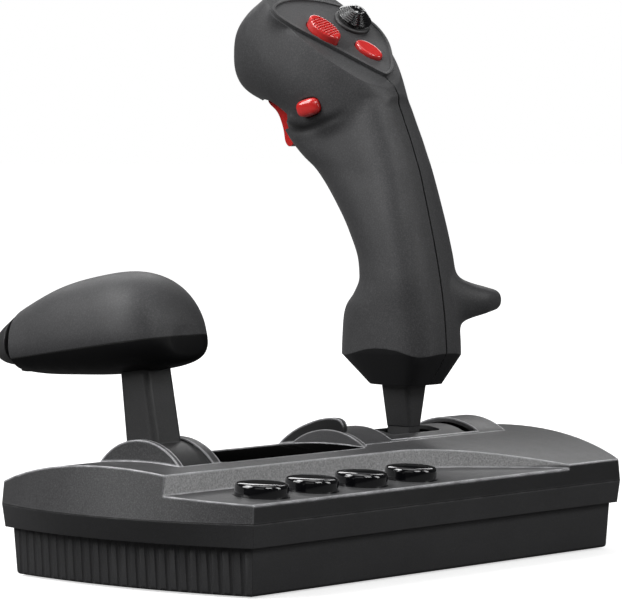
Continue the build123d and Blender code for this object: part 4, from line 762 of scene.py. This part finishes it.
def stage():
    verts, faces = [], []
    prof = [(-9.0, 0.0), (0.0, 0.0), (9.0, 0.0)]
    th = math.radians(50.36)
    fwd = np.array((math.sin(th), math.cos(th), 0))
    side = np.array((math.cos(th), -math.sin(th), 0))
    for s in (-9.0, 9.0):
        for d, z in prof:
            verts.append(fwd * d + side * s + np.array((0, 0, z)))
    k = len(prof)
    for i in range(k - 1):
        faces.append((i, i + 1, k + i + 1, k + i))
    m = Nodes("floor")
    col = m.mix(m.ramp(m.noise(3.0, 2.0), 0.3, 0.7, 0, 1), (0.60, 0.60, 0.60), (0.64, 0.64, 0.64))
    m.link(col, m.bsdf.inputs["Base Color"])
    m.bsdf.inputs["Roughness"].default_value = 0.9
    m.bsdf.inputs["Emission Color"].default_value = (1, 1, 1, 1)
    # the card glows evenly to the horizon, and keeps a soft contact shadow near the object
    far = m.add("ShaderNodeVectorMath", operation="LENGTH")
    m.link(m.geo, far.inputs[0])
    m.link(m.ramp(far.outputs["Value"], 0.5, 1.8, 0.62, 1.05), m.bsdf.inputs["Emission Strength"])
    # seen directly the sweep is a lit white card, in reflections it is a dim one
    dim = m.add("ShaderNodeBsdfDiffuse")
    dim.inputs["Color"].default_value = (0.10, 0.10, 0.10, 1)
    path = m.add("ShaderNodeLightPath")
    both = m.add("ShaderNodeMixShader")
    m.link(path.outputs["Is Camera Ray"], both.inputs[0])
    m.link(dim.outputs[0], both.inputs[1])
    m.link(m.bsdf.outputs[0], both.inputs[2])
    m.link(both.outputs[0], m.t.nodes["Material Output"].inputs["Surface"])
    o = mesh_object("floor", verts, faces, m.mat)
    o.data.shade_smooth()


stage()
VIEW = Vector((math.sin(math.radians(50.36)), math.cos(math.radians(50.36)), 0))
SIDE = Vector((VIEW.y, -VIEW.x, 0))


def spot(name, right, ahead, height, target, size, power):
    """Softbox placed by how far right of, beyond and above the object it stands."""
    p = SIDE * right + VIEW * ahead
    return area(name, (p.x, p.y, height), target, size, power)


spot("left", -1.35, -0.50, 1.05, (0, 0, 0.08), (1.0, 1.2), 22)
spot("left_high", -0.8, -0.1, 1.4, (0.05, 0.04, 0.23), (0.5, 0.5), 9)
spot("back", -0.1, 1.5, 1.3, (0, 0, 0.05), (2.0, 0.7), 13)
spot("top", 0.1, 0.1, 1.8, (0, 0, 0.05), (1.2, 1.2), 7)
spot("right", 1.4, -0.3, 0.8, (0, 0, 0.1), (0.4, 1.0), 6)
spot("right_front", 0.9, -1.3, 1.4, (0, 0, 0.1), (0.8, 0.6), 12)
spot("front", -0.3, -2.1, 1.0, (0, 0, 0.12), (1.4, 0.8), 2)
w = bpy.data.worlds.new("w")
bpy.context.scene.world = w
w.use_nodes = True
w.node_tree.nodes["Background"].inputs[0].default_value = (1, 1, 1, 1)
w.node_tree.nodes["Background"].inputs[1].default_value = 0.03
# seen directly the surroundings are a white card, as light they are dim
card = w.node_tree.nodes.new("ShaderNodeBackground")
card.inputs[0].default_value = (1, 1, 1, 1)
card.inputs[1].default_value = 1.0
seen = w.node_tree.nodes.new("ShaderNodeLightPath")
pick = w.node_tree.nodes.new("ShaderNodeMixShader")
w.node_tree.links.new(seen.outputs["Is Camera Ray"], pick.inputs[0])
w.node_tree.links.new(w.node_tree.nodes["Background"].outputs[0], pick.inputs[1])
w.node_tree.links.new(card.outputs[0], pick.inputs[2])
w.node_tree.links.new(pick.outputs[0], w.node_tree.nodes["World Output"].inputs["Surface"])

cam_data = bpy.data.cameras.new("cam")
cam = bpy.data.objects.new("cam", cam_data)
bpy.context.scene.collection.objects.link(cam)
th, el = math.radians(50.3608), math.radians(2.9335)
fw = Vector((math.sin(th) * math.cos(el), math.cos(th) * math.cos(el), -math.sin(el)))
rt = Vector((math.cos(th), -math.sin(th), 0))
up = rt.cross(fw)
cam.matrix_world = Matrix(((rt.x, up.x, -fw.x, -1.4775), (rt.y, up.y, -fw.y, -1.2189), (rt.z, up.z, -fw.z, 0.2153), (0, 0, 0, 1)))
cam_data.sensor_width = 36.0
cam_data.lens = 4300.0 / 622.0 * 36.0
cam_data.clip_start, cam_data.clip_end = 0.05, 50
bpy.context.scene.camera = cam
bpy.context.scene.view_settings.view_transform = "Standard"
